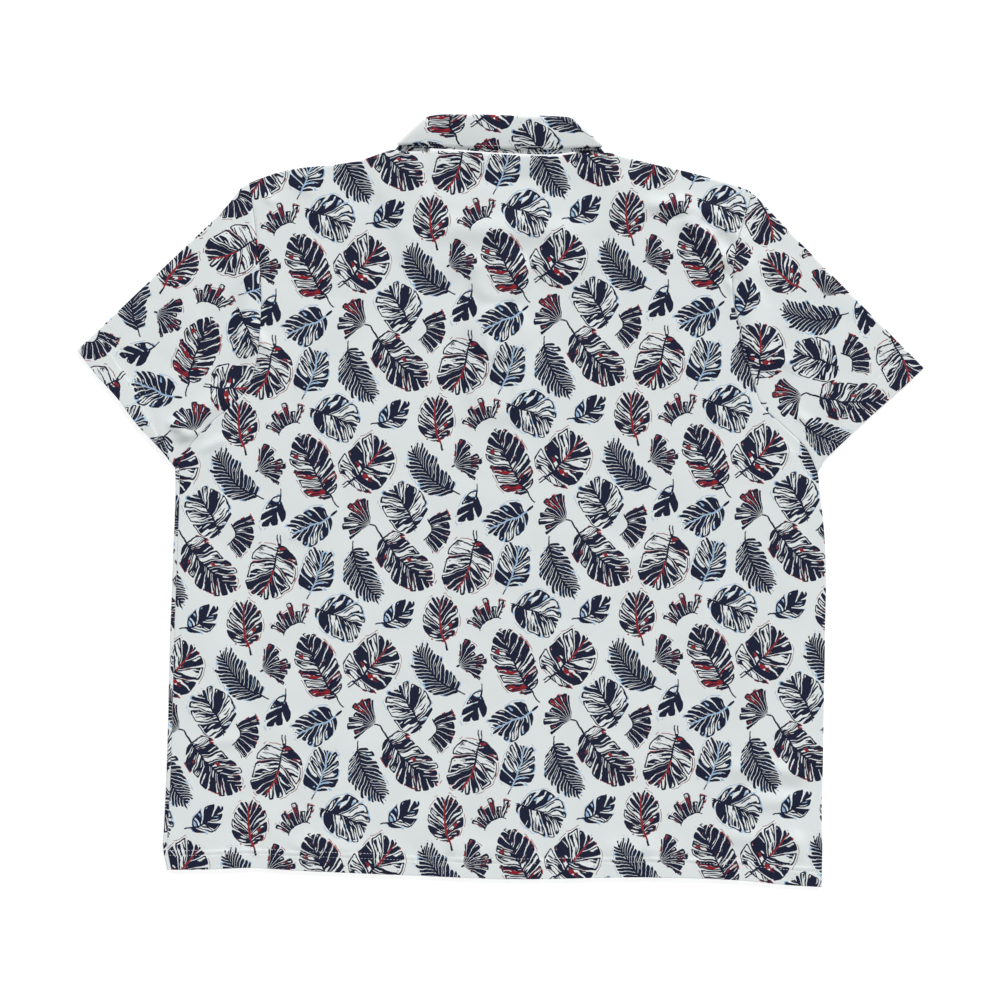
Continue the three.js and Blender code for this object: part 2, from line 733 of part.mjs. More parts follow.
function button(level) {
  const circle = (centreX, centreY, radius, sides) => Array.from({ length: sides }, (_, k) => {
    const angle = (Math.PI * 2 * k) / sides;
    return new THREE.Vector2(centreX + radius * Math.cos(angle), centreY + radius * Math.sin(angle));
  });
  const rim = new THREE.Shape(circle(0, 0, buttonRadius, 28));
  for (const x of [-holeOffset, holeOffset]) {
    for (const y of [-holeOffset, holeOffset]) rim.holes.push(new THREE.Path(circle(x, y, holeRadius, 8)));
  }
  const geometry = new THREE.ExtrudeGeometry(rim, { depth: buttonThickness, bevelEnabled: false });
  geometry.translate(0, level, 0);
  return geometry;
}

// ---------- the shirt ----------

const shirt = new THREE.Group();

function add(name, geometry, look) {
  const mesh = new THREE.Mesh(geometry, new THREE.MeshStandardMaterial(look));
  mesh.name = name;
  shirt.add(mesh);
}

add('front_panel', frontPanel(), printedCloth);
add('back_panel', backPanel(), printedCloth);
add('sleeve_left', sleeve(armholes.left, sleeveLeftEdges, 1), printedCloth);
add('sleeve_right', sleeve(armholes.right, sleeveRightEdges, -1), printedCloth);
add('collar_fall', collarFall(), printedCloth);
add('collar_stand', collarStand(), printedCloth);
add('placket_upper', placketUpper(), printedCloth);
add('placket_under', placketUnder(), printedCloth);
buttonLevels.forEach((level, k) => add(`button_${k + 1}`, button(level), buttonPlastic));

const extent = new THREE.Box3().setFromObject(shirt);
shirt.position.set(-(extent.min.x + extent.max.x) / 2, -(extent.min.y + extent.max.y) / 2, -extent.min.z);

export default shirt;
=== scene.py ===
import math

import bpy
import numpy as np
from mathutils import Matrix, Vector


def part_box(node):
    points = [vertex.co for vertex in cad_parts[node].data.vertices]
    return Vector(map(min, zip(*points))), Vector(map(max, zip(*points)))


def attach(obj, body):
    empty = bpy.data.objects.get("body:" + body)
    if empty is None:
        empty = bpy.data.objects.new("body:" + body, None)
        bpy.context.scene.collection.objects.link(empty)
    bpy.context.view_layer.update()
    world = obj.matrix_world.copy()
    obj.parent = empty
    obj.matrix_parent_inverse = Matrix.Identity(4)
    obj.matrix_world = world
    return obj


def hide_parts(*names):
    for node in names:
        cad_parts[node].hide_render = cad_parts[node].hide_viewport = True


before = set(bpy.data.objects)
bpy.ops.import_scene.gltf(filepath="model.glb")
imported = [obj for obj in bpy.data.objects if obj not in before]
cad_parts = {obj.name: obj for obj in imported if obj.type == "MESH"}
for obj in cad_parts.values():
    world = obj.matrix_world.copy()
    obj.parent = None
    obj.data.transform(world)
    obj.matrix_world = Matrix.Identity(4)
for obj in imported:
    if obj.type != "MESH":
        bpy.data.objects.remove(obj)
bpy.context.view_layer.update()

# Tables and shapes are in millimetres, x from the centre line and y up from the hem;
# place() brings them into the frame. The top button lies on the centre line.
mm = 0.001
topButtonHeight = 700
buttonLow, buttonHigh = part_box("button_1")
centreLine = (buttonLow.x + buttonHigh.x) / 2
hemLevel = (buttonLow.y + buttonHigh.y) / 2 - topButtonHeight * mm


def place(points):
    points = np.asarray(points, float) * mm
    return points + np.array([centreLine, hemLevel, 0.0])


def newPiece(name, points, edges=(), faces=(), materials=()):  # an object from points in millimetres
    mesh = bpy.data.meshes.new(name)
    mesh.from_pydata(place(points).tolist(), list(edges), list(faces))
    for material in materials:
        mesh.materials.append(material)
    piece = bpy.data.objects.new(name, mesh)
    bpy.context.scene.collection.objects.link(piece)
    return piece


def smoothShaded(piece):
    piece.data.polygons.foreach_set("use_smooth", np.ones(len(piece.data.polygons), bool))


def smooth(t):
    t = np.clip(t, 0, 1)
    return t * t * (3 - 2 * t)


def lerp(a, b, t):
    return a + (b - a) * t


class Curve:  # a smooth line through points, read by its share of the whole length
    def __init__(self, points, steps=36):
        points = [np.array(p, float) for p in points]
        around = [2 * points[0] - points[1], *points, 2 * points[-1] - points[-2]]
        t = np.arange(steps)[:, None] / steps
        parts = []
        for p0, p1, p2, p3 in zip(around, around[1:], around[2:], around[3:]):
            pairs = ((p0, p1), (p1, p2), (p2, p3))
            g0, g1, g2 = (math.sqrt(np.linalg.norm(b - a)) for a, b in pairs)
            m1 = ((p1 - p0) / g0 - (p2 - p0) / (g0 + g1) + (p2 - p1) / g1) * g1
            m2 = ((p2 - p1) / g1 - (p3 - p1) / (g1 + g2) + (p3 - p2) / g2) * g1
            square = 3 * (p2 - p1) - 2 * m1 - m2
            cube = 2 * (p1 - p2) + m1 + m2
            parts.append(p1 + m1 * t + square * t**2 + cube * t**3)
        self.dense = np.vstack([*parts, points[-1][None]])
        lengths = np.linalg.norm(np.diff(self.dense, axis=0), axis=1)
        self.shares = np.concatenate([[0], np.cumsum(lengths)])
        self.shares /= self.shares[-1]

    def at(self, share):
        share = np.clip(share, 0, 1)
        return np.stack([np.interp(share, self.shares, c) for c in self.dense.T], axis=-1)

    def tangent(self, share):
        step = self.at(np.asarray(share) + 0.004) - self.at(np.asarray(share) - 0.004)
        return step / np.linalg.norm(step, axis=-1, keepdims=True)


def betweenRows(values, position):  # a curve that never passes the rows' own values
    values = np.asarray(values, float)
    steps = np.diff(values)
    slopes = np.zeros(len(values))
    slopes[0], slopes[-1] = steps[0], steps[-1]
    before, after = steps[:-1], steps[1:]
    same = before * after > 0
    slopes[1:-1][same] = (2 * before * after / np.where(same, before + after, 1))[same]
    index = np.clip(np.floor(position).astype(int), 0, len(values) - 2)
    t = position - index
    a, b, ta, tb = values[index], values[index + 1], slopes[index], slopes[index + 1]
    return a + ta * t + (3 * (b - a) - 2 * ta - tb) * t**2 + (2 * (a - b) + ta + tb) * t**3


def distanceTo(x, y, stretch):
    (ax, ay), (bx, by) = stretch["from"], stretch["to"]
    square = (bx - ax) ** 2 + (by - ay) ** 2
    t = np.clip(((x - ax) * (bx - ax) + (y - ay) * (by - ay)) / max(square, 1e-9), 0, 1)
    return np.hypot(x - lerp(ax, bx, t), y - lerp(ay, by, t))


cloth = {
    "wall": 1.2,
    "collarWall": 1.4,
    "seamGap": 0.3,
    "slack": 0.4,  # air between the back and the front where they lie loose
    "edgeRound": 0.55,  # how far an edge's rounding reaches in
    "edgeRoundMost": 0.6,  # but never more than this share of the way to the next line
    "hemDepth": 21,
    "hemFold": 0.32,  # how much thicker the turned-up ply makes the hem and the cuffs
    "hemFade": (1.5, 3.5),  # that ends this far below the hem's depth, over this height
    "cuffDepth": 27,
    "foldStrength": 1.35,
    "creaseStrength": 2.1,
    "creaseEnds": (0.1, 0.5),  # it fades out this far past its ends, over this share of its length
    "seamSink": 0.3,  # how far a row of sewing draws the cloth in
    "rowHalf": 0.9,  # half the width of that hollow
    "hemRows": (16, 21),  # how high the rows of sewing lie above the hem's edge
    "cuffRows": (22, 27),  # and how far in from a cuff's edge
}
layerStep = cloth["wall"] + cloth["seamGap"]

body = {
    "sideHeight": 436,
    "height": 768,
    "width": 690,
    "underarm": 0.575,  # share of the way up a panel's side
    "neckStart": 0.311,  # shares of the way across a panel's top
    "neckEnd": 0.697,
    "seamFade": 30,
    "underarmFade": 0.06,
    "neckRaise": 2.7,
    "neckRaiseFade": 32,
    "neckRaiseEnds": (0.02, 0.05),  # it starts this far outside the neck, and takes this long
    "aboveNeck": 72,  # how far above the panel the neck's cutter goes on
    "cutMargin": (20, 5),  # what the cut is wider and longer than the panel as it lies
}

sideSeams = [  # height, left, right
    (34, -357.2, 341.8), (61, -356, 341.3), (131, -353, 342.6), (254, -349.8, 344.6),
    (344, -346.5, 345.4), (413, -344, 339.2), (436, -344.5, 337),
]
hemLine = [
    (-353, 10), (-318, 10), (-265, 12), (-212, 9), (-95, 4), (14, 0), (148, 2), (250, -1),
    (303, -6), (341, -8.5),
]
armholeLeft = [
    (-344.5, 436), (-328.6, 460), (-303, 487), (-286, 501), (-267, 521), (-258.6, 548),
    (-254.4, 582), (-253.3, 625), (-257.6, 678), (-266, 738),
]
armholeRight = [
    (337, 431), (324.4, 457), (300, 481), (278, 502), (270, 522), (260.8, 559), (250.2, 599),
    (246.4, 625), (250.2, 668), (267.5, 728),
]
shoulderLeft = [
    (-266, 738), (-254, 743), (-233, 750), (-212, 754), (-170, 758.3), (-148, 762.4),
    (-127, 769), (-112, 773), (-101, 771),
]
backNeck = [
    (-101, 771), (-60, 772), (-27, 770), (4, 768), (33, 767), (56, 766.4), (88, 769.5), (105, 768),
]
shoulderRight = [
    (105, 768), (112, 770), (136, 764.5), (172, 756), (199, 750), (240, 738.5), (260, 732),
    (267.5, 728),
]
sleeves = {
    "left": {
        "outwards": 1,
        "top": [(-275, 732.5), (-288.5, 715), (-362, 643.5), (-448.5, 561)],
        "cuff": [(-448.5, 561), (-428, 534.5), (-406, 510), (-383.7, 480.5), (-360, 455.5), (-351, 444.5)],
    },
    "right": {
        "outwards": -1,
        "top": [(276, 719.5), (300, 694), (372, 620.5), (449.5, 542)],
        "cuff": [(449.5, 542), (428, 521.8), (388, 486), (356, 455.8), (344.4, 444.8), (340.6, 437.6)],
    },
}

# What lies under the body and lifts it: stretches with a half width and a height.
underlayColumns = ("name", "from", "to", "half", "height")
underlay = [dict(zip(underlayColumns, row)) for row in [
    ("left collar side", (-97, 776), (-92, 745), 22, 2.1),
    ("left collar leaf", (-92, 745), (-78, 715), 26, 2.1),
    ("left leaf body", (-78, 715), (-52, 690), 26, 2.1),
    ("left leaf point", (-60, 690), (-64, 672), 20, 2.1),
    ("right collar side", (98, 774), (93, 745), 22, 2.1),
    ("right collar leaf", (93, 745), (78, 715), 26, 2.1),
    ("right leaf body", (78, 715), (52, 690), 26, 2.1),
    ("right leaf point", (60, 690), (64, 672), 20, 2.1),
    ("front of the stand", (-44, 703), (44, 703), 16, 2.1),
    ("left neck point", (-107, 773), (-100, 765), 9, 3.3),
    ("right neck point", (109, 769), (103, 763), 9, 3.3),
    ("placket", (0, 690), (0, 522), 16, 1.6),
    ("middle button", (0, 640), (0, 640), 14, 3.9),
    ("lower button", (0, 580), (0, 580), 14, 3.9),
]]
underlayMargin = 8
underlayFade = 22

# The main folds of the solids, and the finer creases between them.
foldColumns = ("name", "from", "to", "width", "rise")
folds = [dict(zip(foldColumns, row)) for row in [
    ("right shoulder, inner", (203, 694), (240, 655), 10, 3.2),
    ("right shoulder, outer", (226, 706), (256, 676), 9, 2.6),
    ("right shoulder, upper", (160, 716), (214, 706), 9, 1.8),
    ("right armhole", (262, 650), (272, 560), 13, 2.8),
    ("left armhole", (-266, 650), (-268, 565), 12, 2.2),
    ("left underarm", (-334, 478), (-296, 512), 11, 3),
    ("left shoulder", (-246, 722), (-258, 676), 9, 1.8),
    ("above the front neckline", (-60, 690), (66, 686), 13, 2.2),
    ("lower right, high", (250, 116), (318, 112), 10, 1.3),
    ("lower right, middle", (262, 88), (320, 84), 9, 1),
    ("lower right, low", (246, 46), (316, 42), 10, 1.4),
    ("above the hem, left", (-215, 36), (-160, 33), 9, 0.8),
    ("above the hem, middle", (-40, 31), (20, 29), 9, 0.7),
    ("above the hem, right", (120, 32), (180, 30), 9, 0.8),
]]

creaseColumns = ("from", "to", "width", "rise")
creases = [dict(zip(creaseColumns, row)) for row in [
    # the right shoulder and armhole
    ((203, 662), (240, 698), 5, 1.3), ((221, 652), (252, 668), 4, 1), ((212, 690), (231, 713), 4, -0.9),
    ((157, 711), (206, 722), 6, 1.2), ((172, 699), (212, 705), 4, -0.8), ((236, 640), (254, 616), 4, 0.8),
    ((272, 668), (306, 640), 5, 0.9), ((268, 640), (292, 606), 4, -0.8), ((280, 560), (318, 540), 5, 0.9),
    # the left shoulder and armhole
    ((-259, 737), (-238, 713), 4, 1), ((-226, 742), (-196, 726), 5, 0.8), ((-264, 600), (-249, 558), 4, 1.2),
    ((-254, 578), (-236, 545), 3.5, 0.9), ((-272, 690), (-300, 668), 5, 0.9),
    ((-292, 560), (-268, 588), 4, -0.8),
    # the underarms
    ((-354, 486), (-326, 470), 5, 1.3), ((-347, 466), (-312, 474), 4, 1), ((-322, 452), (-286, 470), 5, 1),
    ((312, 446), (286, 470), 5, 0.9), ((336, 478), (308, 498), 4, 0.8),
    # under the collar, round the front neckline and along the placket
    ((-84, 742), (-28, 733), 9, -1.1), ((-6, 731), (76, 737), 9, -1.2), ((-58, 655), (-14, 648), 8, 0.9),
    ((8, 647), (62, 654), 8, 0.9), ((-14, 594), (-12, 524), 3.5, 0.9), ((15, 560), (17, 500), 4, 0.6),
    # the hem
    ((-349, 25), (-343, 56), 4, 0.8), ((-259, 24), (-263, 47), 4, 0.7), ((-207, 23), (-201, 50), 5, 0.9),
    ((-122, 24), (-128, 44), 4, 0.5), ((-53, 22), (-49, 52), 5, 0.8), ((11, 22), (6, 45), 4, 0.7),
    ((88, 22), (93, 40), 4, 0.5), ((154, 22), (160, 55), 5, 0.9), ((223, 21), (218, 46), 4, 0.8),
    ((318, 18), (312, 52), 5, 1),
    # the lower right
    ((248, 121), (336, 112), 6, 0.5), ((268, 99), (330, 94), 5, -0.35), ((250, 78), (334, 82), 6, 0.45),
    ((276, 58), (332, 60), 5, 0.35), ((-318, 142), (-268, 150), 6, 0.7), ((-90, 214), (-30, 222), 8, 0.5),
    ((96, 330), (150, 344), 8, 0.5), ((-240, 372), (-188, 356), 8, 0.5),
]]


def creasesAt(x, y):
    rise = np.zeros_like(x)
    beyond, reach = cloth["creaseEnds"]
    for crease in creases:
        (ax, ay), (bx, by) = crease["from"], crease["to"]
        long = math.hypot(bx - ax, by - ay)
        near = distanceTo(x, y, crease) / crease["width"]
        share = ((x - ax) * (bx - ax) + (y - ay) * (by - ay)) / long**2
        fade = smooth((share + beyond) / reach) * smooth((1 + beyond - share) / reach)
        rise += crease["rise"] * cloth["creaseStrength"] * np.exp(-(near**2)) * fade
    return rise


def liftAt(x, y):
    lift = np.zeros_like(x)
    for stretch in underlay:
        beyond = distanceTo(x, y, stretch) - stretch["half"] - underlayMargin
        lift = np.maximum(lift, stretch["height"] * (1 - smooth(beyond / underlayFade)))
    return lift


def foldsAt(x, y):
    rise = np.zeros_like(x)
    for fold in folds:
        near = distanceTo(x, y, fold) / fold["width"]
        rise += fold["rise"] * cloth["foldStrength"] * np.exp(-(near**2))
    return rise


leftSide = Curve([hemLine[0], *[(left, y) for y, left, right in sideSeams]])
rightSide = Curve([hemLine[-1], *[(right, y) for y, left, right in sideSeams[:-1]], armholeRight[0]])
hem = Curve(hemLine)
armholes = {"left": Curve(armholeLeft), "right": Curve(armholeRight)}
topStretches = [Curve(rows) for rows in (shoulderLeft, backNeck, shoulderRight)]


def sideAt(side, armhole, v):
    low = side.at(v / body["underarm"])
    high = armhole.at((v - body["underarm"]) / (1 - body["underarm"]))
    return np.where((v <= body["underarm"])[..., None], low, high)


def topAt(u):
    start, end = body["neckStart"], body["neckEnd"]
    shares = (u / start, (u - start) / (end - start), (u - end) / (1 - end))
    left, middle, right = (stretch.at(share) for stretch, share in zip(topStretches, shares))
    return np.where((u <= start)[..., None], left, np.where((u <= end)[..., None], middle, right))


def fillPatch(bottom, top, left, right, u, v):  # fills in between four edges that share their corners
    u, v = u[None, :, None], v[:, None, None]
    across = (1 - v) * bottom[None] + v * top[None]
    along = (1 - u) * left[:, None] + u * right[:, None]
    low = (1 - u) * bottom[0] + u * bottom[-1]
    high = (1 - u) * top[0] + u * top[-1]
    return across + along - (1 - v) * low - v * high


def stations(*stretches):  # each stretch is its start, its end and how many steps it has
    parts = [np.linspace(a, b, n, endpoint=False) for a, b, n in stretches]
    return np.concatenate([*parts, [stretches[-1][1]]])


def bodyPoints(u, v):
    left = sideAt(leftSide, armholes["left"], v)
    right = sideAt(rightSide, armholes["right"], v)
    points = fillPatch(hem.at(u), topAt(u), left, right, u, v)
    uGrid, vGrid = np.meshgrid(u, v)
    return points[..., 0], points[..., 1], uGrid, vGrid


def looseness(u, v):  # the back isn't loose at all at the side and shoulder seams
    fromSide = smooth(np.minimum(u, 1 - u) * body["width"] / body["seamFade"])
    atSide = lerp(fromSide, 1, smooth((v - body["underarm"]) / body["underarmFade"]))
    inNeck = (u > body["neckStart"]) & (u < body["neckEnd"])
    return atSide * np.where(inNeck, 1, smooth((1 - v) * body["height"] / body["seamFade"]))


def neckEdgeRaise(u, v, lift):
    beyond, reach = body["neckRaiseEnds"]
    inside = smooth((u - body["neckStart"] + beyond) / reach) * smooth((body["neckEnd"] + beyond - u) / reach)
    near = 1 - smooth((1 - v) * body["height"] / body["neckRaiseFade"])
    return np.maximum(0, body["neckRaise"] - lift) * inside * near


def aboveHem(v):  # height above the hem's edge along the side
    return v * body["sideHeight"] / body["underarm"]


def hemPly(v):
    start, reach = cloth["hemFade"]
    return cloth["hemFold"] * (1 - smooth((aboveHem(v) - cloth["hemDepth"] + start) / reach))


def sewingDip(distance, rows):  # how far rows of sewing draw the cloth in
    return cloth["seamSink"] * sum(np.exp(-((distance - row) / cloth["rowHalf"]) ** 2) for row in rows)


def hemSeamDip(v):
    return sewingDip(aboveHem(v), cloth["hemRows"])


def gridNormals(grid, ring=False):
    if ring:
        across = np.roll(grid, -1, 0) - np.roll(grid, 1, 0)
    else:
        across = np.gradient(grid, axis=0)
    normals = np.cross(across, np.gradient(grid, axis=1))
    return normals / np.maximum(np.linalg.norm(normals, axis=2, keepdims=True), 1e-12)


def padded(grid, ring, amount):  # moves the rows and columns at the edges in
    out = grid.copy()

    def pull(edge, inner):
        step = inner - edge
        length = np.maximum(np.linalg.norm(step, axis=-1, keepdims=True), 1e-9)
        return edge + step / length * np.minimum(amount, length * cloth["edgeRoundMost"])

    out[:, 0] = pull(grid[:, 0], grid[:, 1])
    out[:, -1] = pull(grid[:, -1], grid[:, -2])
    if not ring:
        out[0] = pull(out[0], out[1])
        out[-1] = pull(out[-1], out[-2])
    return out


def gridCorners(rows, columns, ring):  # the four corners of every face of a grid
    i, j = np.meshgrid(np.arange(rows if ring else rows - 1), np.arange(columns - 1), indexing="ij")
    i, j = i.ravel(), j.ravel()
    return [(i, j), (i + 1, j), (i + 1, j + 1), (i, j + 1)]


def rimLoops(rows, columns, ring):  # the places along a grid's open edges, and which way they turn
    if ring:
        return [([(k, 0) for k in range(rows)], 1), ([(k, columns - 1) for k in range(rows)], -1)]
    around = [(k, 0) for k in range(rows)] + [(rows - 1, k) for k in range(1, columns)]
    around += [(k, columns - 1) for k in range(rows - 2, -1, -1)]
    around += [(0, k) for k in range(columns - 2, 0, -1)]
    return [(around, 1)]


def turnedOut(vertices, faces):  # faces that point outwards
    fan = vertices[faces]
    halves = [np.einsum("ij,ij->i", fan[:, 0], np.cross(fan[:, k], fan[:, k + 1])) for k in (1, 2)]
    return faces if np.sum(halves) > 0 else faces[:, ::-1]


def shellMesh(name, middle, wall, fabric, ring=False, outer=1, materials=()):
    # A closed wall round a middle grid, with rounded edges. outer is the side that is the cloth's
    # right side; the other side takes the second material. fabric is the grid's place on the cloth.
    rows, columns = middle.shape[:2]
    count = rows * columns
    wall = np.broadcast_to(np.asarray(wall, float), (rows, columns))[..., None]
    half = gridNormals(middle, ring) * wall / 2
    inset = padded(middle, ring, cloth["edgeRound"])
    vertices = [(inset + half).reshape(-1, 3), (inset - half).reshape(-1, 3)]
    places = [fabric.reshape(-1, 2)] * 2
    faces, slots = [], []

    def ident(side, i, j):
        return side * count + (i % rows) * columns + j

    corners = gridCorners(rows, columns, ring)
    for side, order in enumerate((corners, corners[::-1])):
        faces.append(np.stack([ident(side, i, j) for i, j in order], axis=1))
        slots.append(np.full(len(faces[-1]), (side == 0) != (outer > 0)))
    rimStart = 2 * count
    for loop, turn in rimLoops(rows, columns, ring):
        i, j = np.array(loop).T
        vertices.append(middle[i, j])
        places.append(fabric[i, j])
        rim = rimStart + np.arange(len(loop))
        rimStart += len(loop)
        for side in (0, 1):
            edge = ident(side, i, j)
            quad = [edge, rim, np.roll(rim, -1), np.roll(edge, -1)]
            forward = (turn > 0) == (side == 0)
            faces.append(np.stack(quad if forward else quad[::-1], axis=1))
            slots.append(np.zeros(len(loop)))
    vertices = np.vstack(vertices)
    faces = turnedOut(vertices, np.vstack(faces))
    piece = newPiece(name, vertices, (), faces.tolist(), materials)
    smoothShaded(piece)
    piece.data.polygons.foreach_set("material_index", np.concatenate(slots).astype(np.int32))
    layer = piece.data.uv_layers.new(name="cloth")
    layer.data.foreach_set("uv", np.vstack(places)[faces.ravel()].astype(np.float32).ravel())
    piece.data.update()
    return piece


def planArea(grid):  # the area of a grid of points, in square metres
    a, b = grid[1:, 1:] - grid[:-1, :-1], grid[1:, :-1] - grid[:-1, 1:]
    return float(np.linalg.norm(np.cross(a, b), axis=2).sum() / 2 * mm * mm)


def fabricAt(x, y, turn=0, shift=(0, 0)):  # where a point lies on the uncut cloth
    c, s = math.cos(math.radians(turn)), math.sin(math.radians(turn))
    return np.stack([x * c + y * s + shift[0], -x * s + y * c + shift[1]], axis=-1)


def seamDip(distance, depth, width):  # a seam draws the cloth down beside it
    return -depth * np.exp(-((distance / width) ** 2))


def unevenness(x, y, size, seed, waves=9):  # the faint waves of cloth that lies, about -1 to 1
    dice = np.random.default_rng(seed)
    rise = np.zeros_like(x)
    for _ in range(waves):
        angle, length = dice.uniform(0, math.tau), size * dice.uniform(0.6, 1.5)
        phase = dice.uniform(0, math.tau)
        rise += np.sin((x * math.cos(angle) + y * math.sin(angle)) * math.tau / length + phase)
    return rise / math.sqrt(waves)


def linear(red, green, blue):  # a colour given as it looks on a screen, from 0 to 255
    def one(c):
        c /= 255
        return c / 12.92 if c <= 0.04045 else ((c + 0.055) / 1.055) ** 2.4
    return (one(red), one(green), one(blue), 1)


def arithmetic(operation, reflected=False):  # a method that adds a Math node of two values
    if reflected:
        return lambda self, other: self.math(operation, other, self)
    return lambda self, other: self.math(operation, self, other)


def alone(operation):  # and one of a single value
    return lambda self: self.math(operation, self)


class Wire:  # one output of a shader node, with arithmetic that adds Math nodes
    __add__ = arithmetic("ADD")
    __radd__ = arithmetic("ADD", reflected=True)
    __sub__ = arithmetic("SUBTRACT")
    __rsub__ = arithmetic("SUBTRACT", reflected=True)
    __mul__ = arithmetic("MULTIPLY")
    __rmul__ = arithmetic("MULTIPLY", reflected=True)
    __truediv__ = arithmetic("DIVIDE")
    __rtruediv__ = arithmetic("DIVIDE", reflected=True)
    __pow__ = arithmetic("POWER")
    __gt__ = arithmetic("GREATER_THAN")
    __lt__ = arithmetic("LESS_THAN")
    __abs__ = alone("ABSOLUTE")
    atLeast = arithmetic("MAXIMUM")
    atMost = arithmetic("MINIMUM")
    floor = alone("FLOOR")
    sqrt = alone("SQRT")
    sine = alone("SINE")

    def __init__(self, graph, made, output=0):
        self.graph = graph
        self.made = made
        self.socket = made.outputs[output]

    def math(self, operation, *values, clamp=False):
        return self.graph.node("ShaderNodeMath", {"operation": operation, "use_clamp": clamp}, values)

    def clamped(self):
        return self.math("ADD", self, 0.0, clamp=True)

    def out(self, name):
        return Wire(self.graph, self.made, name)


class Graph:  # the node tree of a material, or of a Geometry Nodes modifier
    def __init__(self, tree):
        self.tree = tree
        tree.nodes.clear()

    def node(self, kind, settings=None, sockets=(), output=0):
        made = self.tree.nodes.new(kind)
        for name, value in (settings or {}).items():
            if name == "stops":
                self.setStops(made.color_ramp, value)
            else:
                setattr(made, name, value)
        pairs = sockets.items() if isinstance(sockets, dict) else enumerate(sockets)
        for key, value in pairs:
            if isinstance(value, Wire):
                self.tree.links.new(value.socket, made.inputs[key])
            else:
                made.inputs[key].default_value = value
        return Wire(self, made, output)

    def setStops(self, ramp, stops):
        ramp.interpolation = "CONSTANT"
        while len(ramp.elements) < len(stops):
            ramp.elements.new(0.5)
        for element, (position, _) in zip(ramp.elements, stops):
            element.position = position
        for element, (_, colour) in zip(ramp.elements, stops):
            element.color = colour

    def vector(self, operation, *values, output=0):
        return self.node("ShaderNodeVectorMath", {"operation": operation}, values, output)

    def combine(self, x=0.0, y=0.0, z=0.0):
        return self.node("ShaderNodeCombineXYZ", {}, (x, y, z))

    def split(self, value):
        made = self.node("ShaderNodeSeparateXYZ", {}, (value,))
        return made.out("X"), made.out("Y"), made.out("Z")

    def mixValue(self, share, a, b):
        return self.node("ShaderNodeMix", {"data_type": "FLOAT"}, {0: share, 2: a, 3: b})

    def mixVector(self, share, a, b):
        return self.node("ShaderNodeMix", {"data_type": "VECTOR"}, {0: share, 4: a, 5: b}, 1)

    def mixColour(self, share, a, b):
        return self.node("ShaderNodeMix", {"data_type": "RGBA"}, {0: share, 6: a, 7: b}, 2)

    def step(self, low, high, value):  # 0 below low, 1 above high
        sockets = {"Value": value, "From Min": low, "From Max": high}
        return self.node("ShaderNodeMapRange", {"interpolation_type": "SMOOTHSTEP"}, sockets)

    def noise(self, spot, scale=1.0, detail=0.0, output=0):
        sockets = {"Vector": spot, "Scale": scale, "Detail": detail}
        return self.node("ShaderNodeTexNoise", {"noise_dimensions": "3D"}, sockets, output)

    def end(self, kind, name, wire):  # the tree's last node
        self.tree.links.new(wire.socket, self.tree.nodes.new(kind).inputs[name])


def newMaterial(name):
    material = bpy.data.materials.new(name)
    material.use_nodes = True
    return material, Graph(material.node_tree)


def finished(material, graph, sockets):  # ends a material with its surface
    surface = graph.node("ShaderNodeBsdfPrincipled", {}, sockets)
    graph.end("ShaderNodeOutputMaterial", "Surface", surface)
    return material


leafPrintLook = {
    "ground": linear(237, 241, 240),
    "ink": linear(22, 27, 54),
    "red": linear(150, 32, 42),
    "blue": linear(160, 194, 226),
    "tile": (208.0, 212.0),  # the repeat, in millimetres
    "clearance": 2.6,  # bare cloth that the leaves keep between them, if there is room
    "spacingRounds": 1400,
    "spacingPush": 0.06,  # the share of an overlap that one round takes away
    "line": 1.05,  # a drawn line's least width
    "soft": 0.16,  # how far a drawn edge blurs
}

# How the brush moves. Each wobble is how fine it is, its depth between leaves and how far the
# hand strays. The other values are thresholds of a stroke's noise, a patch's noise or a chance.
brush = {
    "wobbles": ((0.075, 3.7, 5.0), (0.34, 5.3, 0.9)),
    "bare": (0.64, 0.648),
    "hatched": (0.515, 0.525),
    "slit": (0.6, 0.608),
    "solidAbove": 0.7,
    "accentAbove": 0.44,
    "slitPatch": 0.56,
    "edgingPatch": 0.57,
    "edgingChance": 0.5,
    "edgingFrom": 0.3,  # the share of a lobe's length where its coloured edge starts
    "patches": (0.13, 0.13, 5.7),  # how fine the patches, strokes and hatching are, and their depth
    "strokes": (0.4, 0.35, 1.0),
    "hatching": (0.72, 0.4, 1.3),
    "strokeLength": 0.16,
    "thickening": (0.35, 2.2),  # where a line swells, and by how much
    "round": 2.6,  # how round a lobe's end is
    "second": (1.3, 1.9),  # where a thin second outline runs, outside the leaf
    "secondRuns": 0.55,
    "secondEnds": (0.04, 0.96),  # and between which shares of the leaf's length
    "inkTowardsTip": 0.35,  # how much likelier ink gets from the base to the tip
    "hatchUpTo": 0.9,  # the share of a lobe's length where hatching stops
    "edging": (-1.0, -0.85),  # how far outside a lobe its coloured edge runs
    "notchHalf": (0.1, 0.4),  # half a notch at the lobe's base, and what it gains to the end
}

# Steps that carry the noise and the chances of one leaf, lobe or side away from the next one's.
noiseSteps = {"turnover": 3.13, "side": 7.0, "lobe": 4.1, "leaf": 9.1, "outline": (3.2, 3.3, 2.0)}

# The midrib, the stem and a fan's base line: half widths, and ends as shares of the half length.
ribs = {
    "least": 0.5,
    "swell": 0.35,  # towards the base
    "ends": (-1.0, 0.8),
    "stem": 0.75,
    "stemEnds": (-1.3, -0.9),
    "tube": 0.5,
    "tubeRadius": 1.35,
    "tubeEnds": (-1.32, -0.93),
    "base": 0.6,
    "baseReach": 1.15,
    "fanStem": 0.7,
    "fanStemReach": (0.5, 1.5),  # back by a share of the half length, and forward by millimetres
    "baseAbove": 0.3,  # a fan whose hub is wider than this has a base line and no stem
    "accentAbove": 0.75,
}

